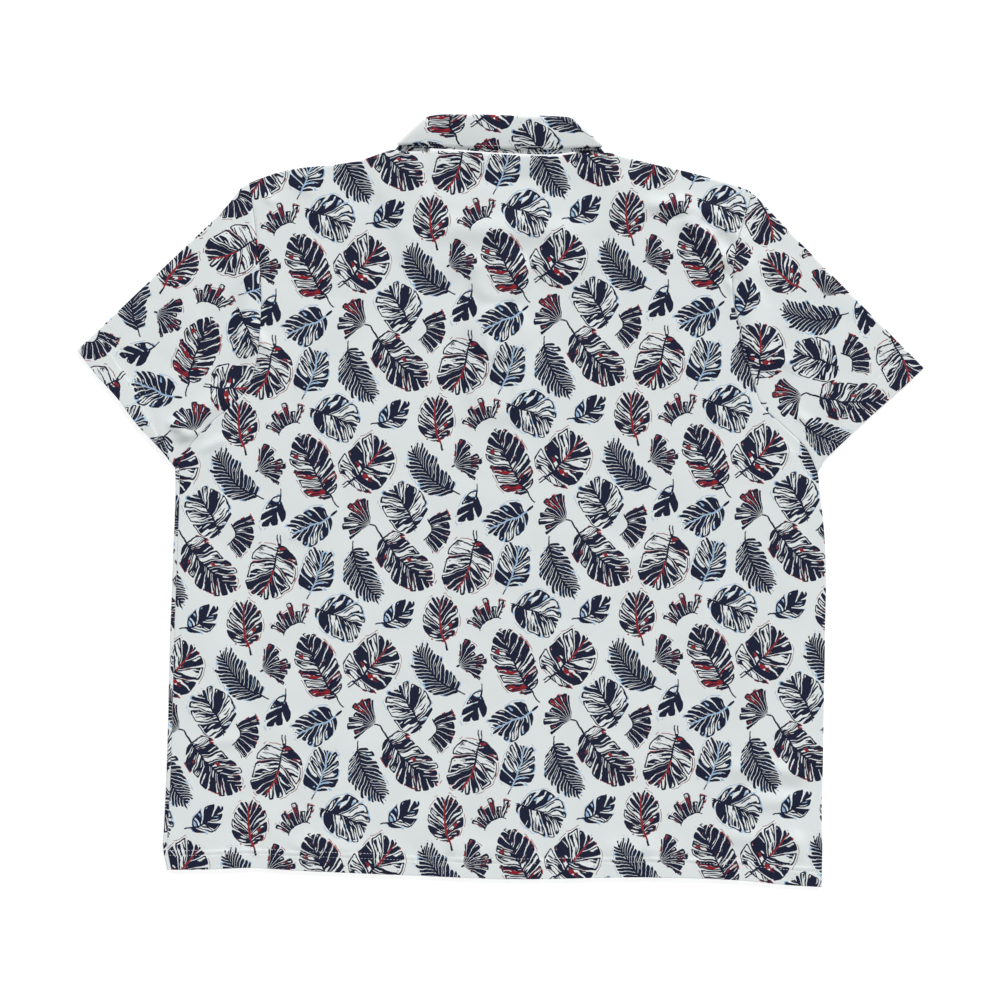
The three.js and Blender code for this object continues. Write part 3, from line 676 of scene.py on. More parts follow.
# How a leaf's values are packed into 0 to 1 for a colour ramp: a scale, then a shift.
valueRanges = {
    "long": (40, 0), "wide": (40, 0), "bend": (1, 0.5), "lobes": (20, 0), "lean": (4, 1), "tipLean": (4, 1),
    "square": (4, 0), "notch": (4, 0), "spread": (2, 0),
}
numberScale = 1e4  # carries a leaf's number in a vector's third value

# How each kind of leaf is drawn. lobes is how many lie on a side or round a fan, lean and tipLean
# are how far they lean at the base and the tip, square and taper shape the outline, notch is the
# width of the gap between lobe ends, ink and accent are shares of the lobes, ragged makes ends uneven,
# fan is 1 for lobes round a point, spread is half a fan's angle, hub its bare middle, and stem
# is 1 for an open stem.
leafKindColumns = (
    "lobes", "lean", "tipLean", "square", "taper", "notch", "ink", "accent", "ragged", "fan", "spread",
    "hub", "stem",
)
leafKinds = {kind: dict(zip(leafKindColumns, row)) for kind, row in {
    "banana": (8.5, 0.1, 1.6, 2.5, 0.05, 2.2, 0.58, 0.08, 0.12, 0, 0.5, 0, 0),
    "broad": (6, -0.35, 2.6, 2.6, 0.1, 2.6, 0.6, 0.07, 0.12, 0, 0.5, 0, 1),
    "feather": (17, 0.35, 1.7, 2.2, 0.12, 1.2, 0.96, 0, 0.24, 0, 0.5, 0, 0),
    "finger": (7.4, 0, 2.6, 2.3, 0.05, 2.4, 0.7, 0.03, 0.18, 0, 0.5, 0, 0),
    "cell": (6, -0.3, 2.8, 2.5, 0.08, 2.5, 0.58, 0.06, 0.14, 0, 0.5, 0, 1),
    "fan": (8, 0, 1, 3, 0, 0.9, 0.85, 0.12, 0.3, 1, 1.05, 0.03, 0),
    "crest": (7, 0, 1, 3, 0, 1.3, 0.7, 0.22, 0.25, 1, 0.8, 0.4, 0),
    "sprig": (3.2, 0.4, 2.4, 2, 0, 4, 0.8, 0.05, 0.3, 0, 0.5, 0, 0),
}.items()}

# Where the leaves lie on the repeat before they are spaced out: half length, half width, and
# the direction of the tip in degrees. accent is 0 for red and 1 for blue, and rib says how much of
# the midrib is in accent: 0 for none, 0.3 for its outer half and 1 for all.
leafColumns = ("kind", "at", "size", "turn", "bend", "accent", "rib")
leaves = [dict(zip(leafColumns, row)) for row in [
    ("banana", (26, 26), (39, 22), 104, 0.1, 0, 0),
    ("broad", (84, 22), (31, 27), 42, -0.12, 0, 0.3),
    ("feather", (146, 24), (36, 19), 158, 0.26, 1, 0),
    ("fan", (192, 22), (16, 21), -70, 0, 0, 0),
    ("cell", (62, 74), (27, 24), -30, 0.16, 1, 0),
    ("sprig", (106, 66), (21, 14), 14, -0.2, 1, 0),
    ("finger", (152, 70), (26, 20), 74, 0.1, 0, 1),
    ("crest", (196, 66), (19, 26), 86, 0, 0, 0),
    ("finger", (22, 104), (26, 20), 28, -0.14, 1, 1),
    ("banana", (124, 122), (39, 22), -52, -0.12, 0, 0),
    ("feather", (74, 124), (35, 19), -24, -0.26, 1, 0),
    ("broad", (186, 118), (31, 27), -128, 0.14, 0, 0.3),
    ("fan", (52, 160), (16, 21), 130, 0, 0, 0),
    ("finger", (14, 172), (25, 20), 200, 0.12, 1, 1),
    ("crest", (150, 160), (19, 26), -40, 0, 0, 0),
    ("cell", (98, 184), (27, 24), 120, -0.16, 1, 0),
    ("sprig", (176, 172), (21, 14), -100, 0.2, 1, 0),
]]


def leafDiscs(leaf):  # discs that fill a leaf: their places along it and across it, and radii
    long, wide = leaf["size"]
    kind = leafKinds[leaf["kind"]]
    if kind["fan"]:
        far, near = long * 2, long * 2 * kind["hub"]
        middle, radius = (far + near) / 2 + 1, (far - near) / 2
        angles = np.array([-1, -0.5, 0, 0.5, 1]) * (kind["spread"] - radius / far * 0.8)
        discs = [(middle * math.cos(a) - long, middle * math.sin(a), radius) for a in angles]
        return [*discs, (-long * (1 - kind["hub"] * 1.4), 0, 3)]
    discs = [(-long - 6, 0, 1.5)]
    for share in (-0.85, -0.6, -0.3, 0, 0.3, 0.6, 0.85):
        radius = wide * math.sqrt(1 - abs(share) ** 2.4)
        discs.append((long * share, 0, min(radius, long * (1.04 - abs(share)) + 2)))
    return discs


def spacedLeaves():  # pushes and turns the leaves on the repeat until they lie clear of each other
    tile = np.array(leafPrintLook["tile"])
    discs = [(index, *disc) for index, leaf in enumerate(leaves) for disc in leafDiscs(leaf)]
    owners = np.array([disc[0] for disc in discs])
    along, across, radii = np.array([disc[1:] for disc in discs]).T
    places = np.array([leaf["at"] for leaf in leaves], float)
    turns = np.radians([leaf["turn"] for leaf in leaves])
    apart = radii[:, None] + radii[None] + leafPrintLook["clearance"]
    others = owners[:, None] != owners[None]
    inertia = np.array([leaf["size"][0] ** 2 for leaf in leaves])
    for _ in range(leafPrintLook["spacingRounds"]):
        axis = np.stack([np.cos(turns), np.sin(turns)], axis=1)[owners]
        aside = np.stack([-axis[:, 1], axis[:, 0]], axis=1)
        arms = axis * along[:, None] + aside * across[:, None]
        here = places[owners] + arms
        gap = here[:, None] - here[None]
        gap -= tile * np.round(gap / tile)
        length = np.maximum(np.linalg.norm(gap, axis=2), 1e-6)
        push = np.where(others, np.maximum(0, apart - length), 0)
        moves = (gap / length[..., None] * push[..., None]).sum(axis=1) * leafPrintLook["spacingPush"]
        twist = arms[:, 0] * moves[:, 1] - arms[:, 1] * moves[:, 0]
        np.add.at(places, owners, moves)
        np.add.at(turns, owners, twist / inertia[owners] * 2)
    return places % tile, turns


def nearestLeaf(graph, spot):  # a place seen from its nearest leaf, and that leaf's number
    tile = leafPrintLook["tile"]
    nearest = 1e3
    local = (0.0, 0.0, 0.0)
    for index, (leaf, centre, turn) in enumerate(zip(leaves, *spacedLeaves())):
        low = (centre[0] - tile[0] / 2, centre[1] - tile[1] / 2, -1.0)
        high = (centre[0] + tile[0] / 2, centre[1] + tile[1] / 2, 1.0)
        sockets = {
            "Vector": graph.vector("WRAP", spot, high, low),
            "Location": (*centre, -float(index)),
            "Rotation": (0, 0, turn),
            "Scale": (*leaf["size"], numberScale),
        }
        here = graph.node("ShaderNodeMapping", {"vector_type": "TEXTURE"}, sockets)
        away = graph.vector("LENGTH", here, output="Value")
        local = graph.mixVector(away < nearest, local, here)
        nearest = away.atMost(nearest)
    return local, graph.split(local)[2] * numberScale


def leafRow(leaf):  # everything that a leaf and its kind set, in one dictionary
    long, wide = leaf["size"]
    own = {"long": long, "wide": wide, "bend": leaf["bend"], "accentKind": leaf["accent"], "rib": leaf["rib"]}
    return {**own, **leafKinds[leaf["kind"]]}


def leafValues(graph, number):  # looks those values up by the leaf's number, four to a ramp
    rows = [leafRow(leaf) for leaf in leaves]
    share = (number + 0.5) / len(rows)
    names = list(rows[0])
    values = {}
    for first in range(0, len(names), 4):
        group = names[first:first + 4]
        ranges = [valueRanges.get(name, (1, 0)) for name in group]
        stops = []
        for index, row in enumerate(rows):
            packed = [(row[name] + shift) / scale for name, (scale, shift) in zip(group, ranges)]
            stops.append((index / len(rows), (packed + [1.0] * 4)[:4]))
        ramp = graph.node("ShaderNodeValToRGB", {"stops": stops}, (share,))
        colour = graph.node("ShaderNodeSeparateColor", {}, (ramp,))
        outputs = [colour.out(name) for name in ("Red", "Green", "Blue")] + [ramp.out("Alpha")]
        for name, output, (scale, shift) in zip(group, outputs, ranges):
            values[name] = output if scale == 1 and shift == 0 else output * scale - shift
    return values


def wobbled(graph, local):  # the hand strays from the plan, slowly and quickly
    strayed = local
    for fineness, depth, reach in brush["wobbles"]:
        noise = graph.noise(graph.vector("MULTIPLY", local, (fineness, fineness, depth)), output="Color")
        centred = graph.vector("SUBTRACT", noise, (0.5, 0.5, 0.0))
        strayed = graph.vector("MULTIPLY_ADD", centred, (reach, reach, 0.0), strayed)
    return graph.split(strayed)[:2]


def leafForm(graph, leaf, number, along, across):  # where a place lies on its leaf and lobe
    long, lobes, fan, spread, square = (leaf[key] for key in ("long", "lobes", "fan", "spread", "square"))
    share = along / long
    fromBase = along + long
    side = across + leaf["bend"] * long * (share * share - 0.33)
    beside = abs(side)

    # lobes that spread from a bent midrib
    room = leaf["wide"] * (1 - leaf["taper"] * share)
    norm = (abs(share) ** square + (beside / room) ** square) ** (1 / square)
    middle = (along * along + beside * beside).sqrt()
    spreadRate = (leaf["tipLean"] - leaf["lean"]) / (long * 2)
    widening = 1 + spreadRate * beside
    start = (fromBase - leaf["lean"] * beside) / widening
    slope = leaf["lean"] + spreadRate * start
    slant = (1 + slope * slope).sqrt()

    # lobes round a fan's point
    radius = (fromBase * fromBase + side * side).sqrt() + 0.01
    angle = side.math("ARCTAN2", side, fromBase)
    hub = leaf["hub"] * long * 2

    position = graph.mixValue(fan, start / (long * 2), angle / spread * 0.5 + 0.5)
    cell = graph.mixValue(fan, long * 2 / lobes * widening / slant, radius * spread * 2 / lobes)
    sideNumber = (side > 0) * (1 - fan)
    turnover = position * lobes + sideNumber * 0.5 + number * noiseSteps["turnover"]
    lobeNumber = turnover.floor()
    dice = graph.combine(lobeNumber, sideNumber * noiseSteps["side"], number)
    chance = graph.node("ShaderNodeTexWhiteNoise", {"noise_dimensions": "3D"}, {"Vector": dice}, "Color")
    chanceInk, chanceAccent, chanceLength = graph.split(chance)
    grown = 1 - leaf["ragged"] * chanceLength
    toEnd = graph.mixValue(fan, (grown / norm - 1) * middle, long * 2 * grown - radius)
    reach = graph.mixValue(fan, beside * slant, radius - hub)
    up = (reach / (reach + toEnd.atLeast(0.0) + 0.01)).clamped()
    offCentre = abs(turnover - lobeNumber - 0.5)
    atBase, gained = brush["notchHalf"]
    inLobe = (0.5 - offCentre) * cell - leaf["notch"] * (atBase + gained * up ** 3)
    inside = inLobe.math("SMOOTH_MIN", inLobe, toEnd, brush["round"])
    fanEdge = ((spread - abs(angle)) * radius).atMost(reach)
    inside = graph.mixValue(fan, inside, inside.atMost(fanEdge))
    return {
        "share": share, "fromBase": fromBase, "beside": beside, "radius": radius, "angle": angle, "hub": hub,
        "position": position, "acrossLobe": (turnover - lobeNumber) * cell, "reach": reach, "up": up,
        "sideNumber": sideNumber, "lobeNumber": lobeNumber, "chanceInk": chanceInk,
        "chanceAccent": chanceAccent, "toEnd": toEnd, "inside": inside,
    }


def lobeMarks(graph, leaf, form, local, number):  # ink, accent and bare slits on the lobes
    soft, inside, chanceAccent = leafPrintLook["soft"], form["inside"], form["chanceAccent"]
    patches = graph.noise(graph.vector("MULTIPLY", local, brush["patches"]), detail=1)
    depth = form["lobeNumber"] * noiseSteps["lobe"] + number * noiseSteps["leaf"] + form["sideNumber"]
    stroke = graph.combine(form["acrossLobe"], form["reach"] * brush["strokeLength"], depth)
    marksAlong = graph.noise(graph.vector("MULTIPLY", stroke, brush["strokes"]))
    hatchMarks = graph.noise(graph.vector("MULTIPLY", stroke, brush["hatching"]))
    swellFrom, swell = brush["thickening"]
    lineWidth = leafPrintLook["line"] + (patches - swellFrom).atLeast(0.0) * swell
    within = graph.step(0.0, soft, inside)
    edge = within * (1 - graph.step(lineWidth, lineWidth + soft, inside))
    inked = form["chanceInk"] - brush["inkTowardsTip"] * (form["position"] - 0.5) < leaf["ink"]
    coloured = chanceAccent > 1 - leaf["accent"]
    plain = inked * (1 - coloured)
    hatching = graph.step(*brush["hatched"], hatchMarks) * (form["up"] < brush["hatchUpTo"])
    fill = graph.mixValue(plain, hatching, 1 - graph.step(*brush["bare"], marksAlong)) * within
    fill = fill.atLeast(within * plain * (hatchMarks > brush["solidAbove"]))
    accented = coloured * within * (1 - edge) * (marksAlong > brush["accentAbove"])
    slits = inked * within * (1 - edge) * graph.step(*brush["slit"], marksAlong)
    slits = slits * (patches > brush["slitPatch"])
    edging = graph.step(*brush["edging"], inside) * (1 - within) * (patches > brush["edgingPatch"])
    edging = edging * (chanceAccent > brush["edgingChance"]) * (form["up"] > brush["edgingFrom"])
    return edge.atLeast(fill), accented.atLeast(slits).atLeast(edging), slits


def ribLines(graph, leaf, form):  # the midrib, and the stem or a fan's base line
    soft, share, beside, fromBase = leafPrintLook["soft"], form["share"], form["beside"], form["fromBase"]

    def stroke(half, away):
        return 1 - graph.step(half, half + soft, away)

    def between(value, ends):
        return (value > ends[0]) * (value < ends[1])

    swollen = ribs["least"] + ribs["swell"] * (1 - share).clamped()
    ribLine = stroke(swollen, beside) * between(share, ribs["ends"])
    solidStem = stroke(ribs["stem"], beside) * between(share, ribs["stemEnds"])
    openStem = stroke(ribs["tube"], abs(beside - ribs["tubeRadius"])) * between(share, ribs["tubeEnds"])
    stem = graph.mixValue(leaf["stem"], solidStem, openStem)
    baseLine = stroke(ribs["base"], abs(form["radius"] - form["hub"]))
    baseLine = baseLine * (abs(form["angle"]) < leaf["spread"] * ribs["baseReach"])
    back, forward = ribs["fanStemReach"]
    fanStem = stroke(ribs["fanStem"], beside) * between(fromBase, (-back * leaf["long"], forward))
    fanLine = graph.mixValue(leaf["hub"] > ribs["baseAbove"], fanStem, baseLine)
    return graph.mixValue(leaf["fan"], ribLine, 0.0), graph.mixValue(leaf["fan"], stem, fanLine)


def secondOutline(graph, form, number):  # a thin broken line, drawn off the leaf
    soft, outside = leafPrintLook["soft"], -1 * form["toEnd"]
    near, far = brush["second"]
    line = graph.step(near, near + soft, outside) * (1 - graph.step(far, far + soft, outside))
    position, (alongStep, leafStep, sideStep) = form["position"], noiseSteps["outline"]
    spot = graph.combine(position * alongStep, number * leafStep, form["sideNumber"] * sideStep)
    runs = graph.noise(spot) > brush["secondRuns"]
    start, end = brush["secondEnds"]
    return line * runs * (position > start) * (position < end)


def leafMasks(graph, spot):
    # The masks of ink and accent, and the accent's kind, at a place on the cloth in millimetres.
    local, number = nearestLeaf(graph, spot)
    leaf = leafValues(graph, number)
    local = graph.vector("MULTIPLY", local, graph.combine(leaf["long"], leaf["wide"], numberScale))
    form = leafForm(graph, leaf, number, *wobbled(graph, local))
    inkMarks, accentMarks, slits = lobeMarks(graph, leaf, form, local, number)
    rib, lines = ribLines(graph, leaf, form)
    ribAccented = rib * (leaf["rib"] + 0.5 * (form["share"] > -0.1) > ribs["accentAbove"])
    ink = inkMarks.atLeast(rib).atLeast(lines) * (1 - ribAccented) * (1 - slits)
    accent = accentMarks.atLeast(secondOutline(graph, form, number)).atLeast(ribAccented)
    return ink.clamped(), accent.clamped(), leaf["accentKind"]


clothLook = {
    "roughness": 0.72,
    "specular": 0.1,
    "fuzz": (1.3, 0.9, 1.0),  # how fine the pile and the mottling are
    "mottle": (0.03, 0.022, 1.0),
    "shade": (0.965, 0.05, 0.03),  # the ground's least shade, and what mottling and pile add
    "loop": 0.85,  # the knit's stitch spacing, in millimetres
    "loopRelief": 0.00004,
    "fuzzRelief": 0.00005,
    "reverseInk": 0.16,  # how much of the print shows through on the wrong side
    "cover": (0.985, 0.015),  # how fully the print covers, and what the pile adds
    "inkSmoother": 0.08,
}


def clothMaterial(name, strength):
    material, graph = newMaterial(name)
    spot = graph.node("ShaderNodeUVMap", {"uv_map": "cloth"})
    ink, accent, accentKind = leafMasks(graph, spot)
    across = graph.split(spot)[0]
    fuzz = graph.noise(graph.vector("MULTIPLY", spot, clothLook["fuzz"]))
    mottle = graph.noise(graph.vector("MULTIPLY", spot, clothLook["mottle"]))
    least, byMottle, byFuzz = clothLook["shade"]
    shade = least + byMottle * mottle + byFuzz * fuzz
    sockets = {0: leafPrintLook["ground"][:3], "Scale": shade}
    ground = graph.node("ShaderNodeVectorMath", {"operation": "SCALE"}, sockets)
    coloured = graph.mixColour(accentKind, leafPrintLook["red"], leafPrintLook["blue"])
    covered, byPile = clothLook["cover"]
    cover = strength * (covered + byPile * fuzz)
    printed = graph.mixColour(accent * cover, ground, coloured)
    printed = graph.mixColour(ink * cover, printed, leafPrintLook["ink"])
    loops = (across * (math.tau / clothLook["loop"])).sine()
    relief = loops * clothLook["loopRelief"] + fuzz * clothLook["fuzzRelief"]
    bump = graph.node("ShaderNodeBump", {}, {"Height": relief, "Distance": 1.0, "Strength": 0.6})
    return finished(material, graph, {
        "Base Color": printed,
        "Roughness": clothLook["roughness"] - clothLook["inkSmoother"] * ink,
        "Normal": bump,
        "Specular IOR Level": clothLook["specular"],
    })


plainLooks = {
    "thread": {"colour": linear(226, 230, 229), "roughness": 0.6, "grain": 1800, "relief": 0.00004},
    "buttonPlastic": {"colour": linear(236, 238, 240), "roughness": 0.22, "grain": 260, "relief": 0.00001},
}


def plainMaterial(name):
    look = plainLooks[name]
    material, graph = newMaterial(name)
    speck = graph.noise(graph.node("ShaderNodeTexCoord", {}, (), "Object"), look["grain"], 2)
    darker = tuple(c * 0.93 for c in look["colour"][:3]) + (1,)
    bump = {"Height": speck * look["relief"], "Distance": 1.0, "Strength": 0.5}
    return finished(material, graph, {
        "Base Color": graph.mixColour(speck, darker, look["colour"]),
        "Roughness": look["roughness"] + 0.06 * speck,
        "Normal": graph.node("ShaderNodeBump", {}, bump),
    })


printedCloth = clothMaterial("printedCloth", 1.0)
clothReverse = clothMaterial("clothReverse", clothLook["reverseInk"])
threadLook = plainMaterial("thread")
buttonLook = plainMaterial("buttonPlastic")
print("materials made")

panels = {
    "grainTurn": 1.4,  # the print's columns lean a little
    "sideSeamInset": 4.2,  # the left side seam shows this far in from the edge
    "sideSeamShift": (61, 37),  # the front's print meets the back's anywhere
    "frontShift": (43, 88),
    "ripple": 0.5,
    "rippleSize": 95,
    "pucker": 0.25,  # small waves that the hem's sewing draws, round one height
    "puckerSize": 13,
    "puckerLevel": 18,
    "puckerReach": 9,
    "sideSeamDip": (0.4, 1.3),  # a seam's hollow: its depth and half its width
    "armholeDip": (0.5, 2),
    "backAcross": (58, 76, 60),  # steps of the mesh: side to neck, the neck, neck to side
    "backUp": (40, 108, 76, 18),  # the hem, to the underarm, to the shoulder, the shoulder
    "frontAcross": (36, 44, 36),
    "frontUp": (36, 48, 46),
    "shoulderFrom": 0.93,
    "fineHem": 30,  # the mesh is finer up to this height
}
hemTop = panels["fineHem"] * body["underarm"] / body["sideHeight"]


def backSurface(u, v):
    # the middle of the back's wall at a grid of places, with the wall's thickness
    x, y, uGrid, vGrid = bodyPoints(u, v)
    lift = liftAt(x, y)
    ripple = panels["ripple"] * unevenness(x, y, panels["rippleSize"], 7)
    nearHem = np.exp(-((aboveHem(vGrid) - panels["puckerLevel"]) / panels["puckerReach"]) ** 2)
    pucker = unevenness(x, y, panels["puckerSize"], 3) * nearHem * panels["pucker"]
    creased = np.maximum(0, cloth["slack"] + foldsAt(x, y) + np.abs(ripple) + pucker + creasesAt(x, y))
    loose = creased * looseness(uGrid, vGrid)
    ply = hemPly(vGrid)
    z = lift + layerStep + loose + neckEdgeRaise(uGrid, vGrid, lift) + ply + (cloth["wall"] + ply) / 2
    z -= hemSeamDip(vGrid)
    return np.stack([x, y, z], axis=-1), cloth["wall"] + ply, uGrid, vGrid


def makeBack():
    inset = panels["sideSeamInset"] / body["width"]
    start, end, underarm, top = body["neckStart"], body["neckEnd"], body["underarm"], panels["shoulderFrom"]
    across, up = panels["backAcross"], panels["backUp"]
    u = np.concatenate([
        [0, inset * 0.5, inset, inset + 0.0006],  # a doubled line keeps the print sharp at the seam
        stations((inset + 0.004, start, across[0])),
        stations((start, end, across[1]), (end, 1, across[2]))[1:],
    ])
    v = stations((0, hemTop, up[0]), (hemTop, underarm, up[1]), (underarm, top, up[2]), (top, 1, up[3]))
    middle, wall, uGrid, vGrid = backSurface(u, v)
    fabric = fabricAt(middle[..., 0], middle[..., 1], panels["grainTurn"])
    beyondSeam = (uGrid <= inset + 1e-6) & (vGrid < body["underarm"])
    fabric[beyondSeam] += panels["sideSeamShift"]
    fromSeam = np.abs(uGrid - inset) * body["width"]
    dip = np.where(vGrid < body["underarm"], seamDip(fromSeam, *panels["sideSeamDip"]), 0)
    fromArmhole = np.minimum(uGrid, 1 - uGrid) * body["width"]
    dip += np.where(vGrid > body["underarm"], seamDip(fromArmhole, *panels["armholeDip"]), 0)
    middle[..., 2] += dip / 2
    wall = wall + dip
    back = shellMesh("backPanel", middle, wall, fabric, outer=-1, materials=(printedCloth, clothReverse))
    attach(back, "root")
    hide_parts("back_panel")
    return back, planArea(middle * (1, 1, 0))


back, backArea = makeBack()
print("back made")


def neckOpening():
    # the scoop follows the stand's seam edge, a seam's gap outside it
    left = np.linspace(0, collar["leftTurn"], 40)
    right = np.linspace(collar["rightTurn"], len(collarSections) - 1, 40)
    sides = [collarStations(positions)["seam"][:, :2] for positions in (right, left)]
    seam = np.vstack([sides[0], [[collar["standLap"], collar["standLapLevel"]]], sides[1]])
    seam = seam[np.argsort(seam[:, 0])]
    along = np.gradient(seam, axis=0)
    along /= np.linalg.norm(along, axis=1, keepdims=True)
    outline = seam + np.stack([along[:, 1], -along[:, 0]], axis=1) * cloth["seamGap"]
    beyond = body["height"] + body["aboveNeck"]
    return [*outline.tolist(), [outline[-1][0], beyond], [outline[0][0], beyond]]


cutterReach = (-10, 30)  # the heights between which a cutter reaches


def cutAway(piece, outline, name):  # cuts an upright prism out of a piece
    count = len(outline)
    points = [(x, y, z) for z in cutterReach for x, y in outline]
    sides = [(k, (k + 1) % count, (k + 1) % count + count, k + count) for k in range(count)]
    ends = [tuple(range(count))[::-1], tuple(range(count, 2 * count))]
    cutter = newPiece(name, points, (), ends + sides)
    modifier = piece.modifiers.new("cut", "BOOLEAN")
    modifier.operation = "DIFFERENCE"
    modifier.solver = "EXACT"
    modifier.object = cutter
    applyModifiers(piece)
    bpy.data.objects.remove(cutter)


def applyModifiers(piece):  # turns a piece's evaluated form into its plain mesh
    evaluated = piece.evaluated_get(bpy.context.evaluated_depsgraph_get())
    mesh = bpy.data.meshes.new_from_object(evaluated)
    piece.modifiers.clear()
    piece.data = mesh


def frontSurface(u, v):
    x, y, uGrid, vGrid = bodyPoints(u, v)
    dip = hemSeamDip(vGrid)
    wall = cloth["wall"] + hemPly(vGrid) - dip
    return np.stack([x, y, liftAt(x, y) + dip + wall / 2], axis=-1), wall, uGrid, vGrid


def makeFront():
    start, end, underarm = body["neckStart"], body["neckEnd"], body["underarm"]
    across, up = panels["frontAcross"], panels["frontUp"]
    u = stations((0, start, across[0]), (start, end, across[1]), (end, 1, across[2]))
    v = stations((0, hemTop, up[0]), (hemTop, underarm, up[1]), (underarm, 1, up[2]))
    middle, wall, uGrid, vGrid = frontSurface(u, v)
    fabric = fabricAt(-middle[..., 0], middle[..., 1], panels["grainTurn"], panels["frontShift"])
    front = shellMesh("frontPanel", middle, wall, fabric, outer=1, materials=(printedCloth, clothReverse))
    cutAway(front, neckOpening(), "neckCutter")
    half = placket["slitWidth"] / 2
    low, high = placket["slitBottom"], placket["slitTop"]
    cutAway(front, [(-half, low), (half, low), (half, high), (-half, high)], "slitCutter")
    smoothShaded(front)
    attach(front, "root")
    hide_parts("front_panel")
    return front, planArea(middle * (1, 1, 0))


sleeve = {
    "length": 230,
    "steps": 46,
    "cuffSteps": 40,
    "stations": 60,
    "foldArcs": 5,
    "foldFade": 16,  # how far in from a folded edge the layers reach their own height
    "ripple": 0.35,
    "rippleSize": 80,
    "seamDip": (0.35, 2),
    "seamGap": 0.04,  # the seam is drawn tight
    "printTurn": {"left": -45, "right": 43},
    "printShift": {"left": (20, 60), "right": (120, 10)},
    "underShift": 90,
    "plyFade": 1.5,  # the cuff's extra ply ends over this length
    "fineCuff": 1.15,  # the mesh is finer over this many depths of the cuff
    "crown": 1.25,  # a sleeve is cut this much longer at its crown than on average
}
sleeveRings = {}  # each sleeve's grid, walls and distance from the cuff, for its stitches
cuffShare = cloth["cuffDepth"] / sleeve["length"]


def sleevePlan(side):  # the flat sleeve: steps from armhole to cuff, by stations from the top edge down
    sizes, armhole = sleeves[side], armholes[side]

    def rim(share):
        share = np.clip(1 - share, 0, 1)
        tangent = armhole.tangent(share)
        away = np.stack([-tangent[..., 1], tangent[..., 0]], axis=-1) * sizes["outwards"]
        return armhole.at(share) + away * sleeve["seamGap"]

    w = np.linspace(0, 1, sleeve["stations"])
    cuffStart = 1 - cuffShare * sleeve["fineCuff"]
    t = stations((0, cuffStart, sleeve["steps"]), (cuffStart, 1, sleeve["cuffSteps"]))
    topEdge = Curve([rim(0.0), *sizes["top"]])
    cuff = Curve(sizes["cuff"])
    corner = rim(1.0)
    underarmEdge = corner + (cuff.at(1.0) - corner) * t[:, None]
    return fillPatch(rim(w), cuff.at(w), topEdge.at(t), underarmEdge, w, t), t


def outward(edge, inner):
    step = edge - inner
    return step / np.linalg.norm(step, axis=-1, keepdims=True)


def sleeveRing(plan, t):
    # The middle of the wall all round: the upper layer, the underarm's fold, the lower layer and
    # the top fold. Also the cuff's extra ply, and how far each place is from the folds, up to 1.
    radius = (layerStep + cloth["slack"]) / 2
    low = cloth["wall"] / 2
    high = low + 2 * radius
    ply = cloth["hemFold"] * smooth((t - 1 + cuffShare) * sleeve["length"] / sleeve["plyFade"])[:, None]
    ends = {0: outward(plan[:, 0], plan[:, 2]), -1: outward(plan[:, -1], plan[:, -3])}
    centres = {k: plan[:, k] - ends[k] * (radius + low) for k in ends}
    flat = plan.copy()
    for k in ends:
        flat[:, k] = centres[k]
    fromEdges = [np.linalg.norm(plan - edge, axis=2) for edge in (plan[:, :1], plan[:, -1:])]
    fade = smooth(np.minimum(*fromEdges) / sleeve["foldFade"])
    x, y = plan[..., 0], plan[..., 1]
    ripple = np.abs(sleeve["ripple"] * unevenness(x, y, sleeve["rippleSize"], 11))
    creased = np.maximum(0, foldsAt(x, y) + ripple + creasesAt(x, y)) + ply
    upper = np.concatenate([flat, (high + creased * fade)[..., None]], axis=2)
    lower = np.concatenate([flat, (low + ply * fade / 2)[..., None]], axis=2)
    arcs = {}
    for k, direction in ((-1, 1), (0, -1)):
        angles = math.pi / 2 - math.pi * np.arange(1, sleeve["foldArcs"] + 1) / (sleeve["foldArcs"] + 1)
        ring = []
        for a in angles:
            height = np.full((len(t), 1), low + radius + direction * math.sin(a) * radius)
            ring.append(np.concatenate([centres[k] + ends[k] * math.cos(a) * radius, height], axis=1))
        arcs[k] = np.stack(ring, axis=1)
    return np.concatenate([upper, arcs[-1], lower[:, ::-1], arcs[0]], axis=1), ply, fade


def makeSleeve(side):
    plan, t = sleevePlan(side)
    middle, ply, fade = sleeveRing(plan, t)
    count = plan.shape[1]
    upper = slice(0, count)
    lower = slice(count + sleeve["foldArcs"], 2 * count + sleeve["foldArcs"])
    fromSeam = np.linalg.norm(plan - plan[:1], axis=2)
    middle[:, upper, 2] += seamDip(fromSeam, *sleeve["seamDip"]) * fade
    turn, shift = sleeve["printTurn"][side], sleeve["printShift"][side]
    fabric = fabricAt(middle[..., 0], middle[..., 1], turn, shift)
    x, y, _ = np.moveaxis(middle[:, lower], 2, 0)
    fabric[:, lower] = fabricAt(-x, y, -turn, (shift[0] + sleeve["underShift"], shift[1]))
    fromCuff = np.linalg.norm(plan[:, count // 2] - plan[-1, count // 2], axis=1)
    rowDip = sewingDip(fromCuff, cloth["cuffRows"])[:, None] * fade
    walls = np.full(middle.shape[:2], cloth["wall"])
    walls[:, upper] += ply * fade - rowDip
    walls[:, lower] -= rowDip[:, ::-1]
    middle[:, upper, 2] -= rowDip / 2
    middle[:, lower, 2] += rowDip[:, ::-1] / 2
    ring, fabric = np.swapaxes(middle, 0, 1), np.swapaxes(fabric, 0, 1)
    sleeveRings[side] = (ring, walls.T, fromCuff, count, lower.start)
    piece = shellMesh(
        f"sleeve{side.capitalize()}", ring, walls.T, fabric, ring=True, outer=-sleeves[side]["outwards"],
        materials=(printedCloth, clothReverse),
    )
    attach(piece, "root")
    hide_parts(f"sleeve_{side}")
    area = planArea(np.pad(plan, ((0, 0), (0, 0), (0, 1)))) * 2
    return piece, area, float(np.linalg.norm(plan[0, 0] - plan[0, -1])) * 2


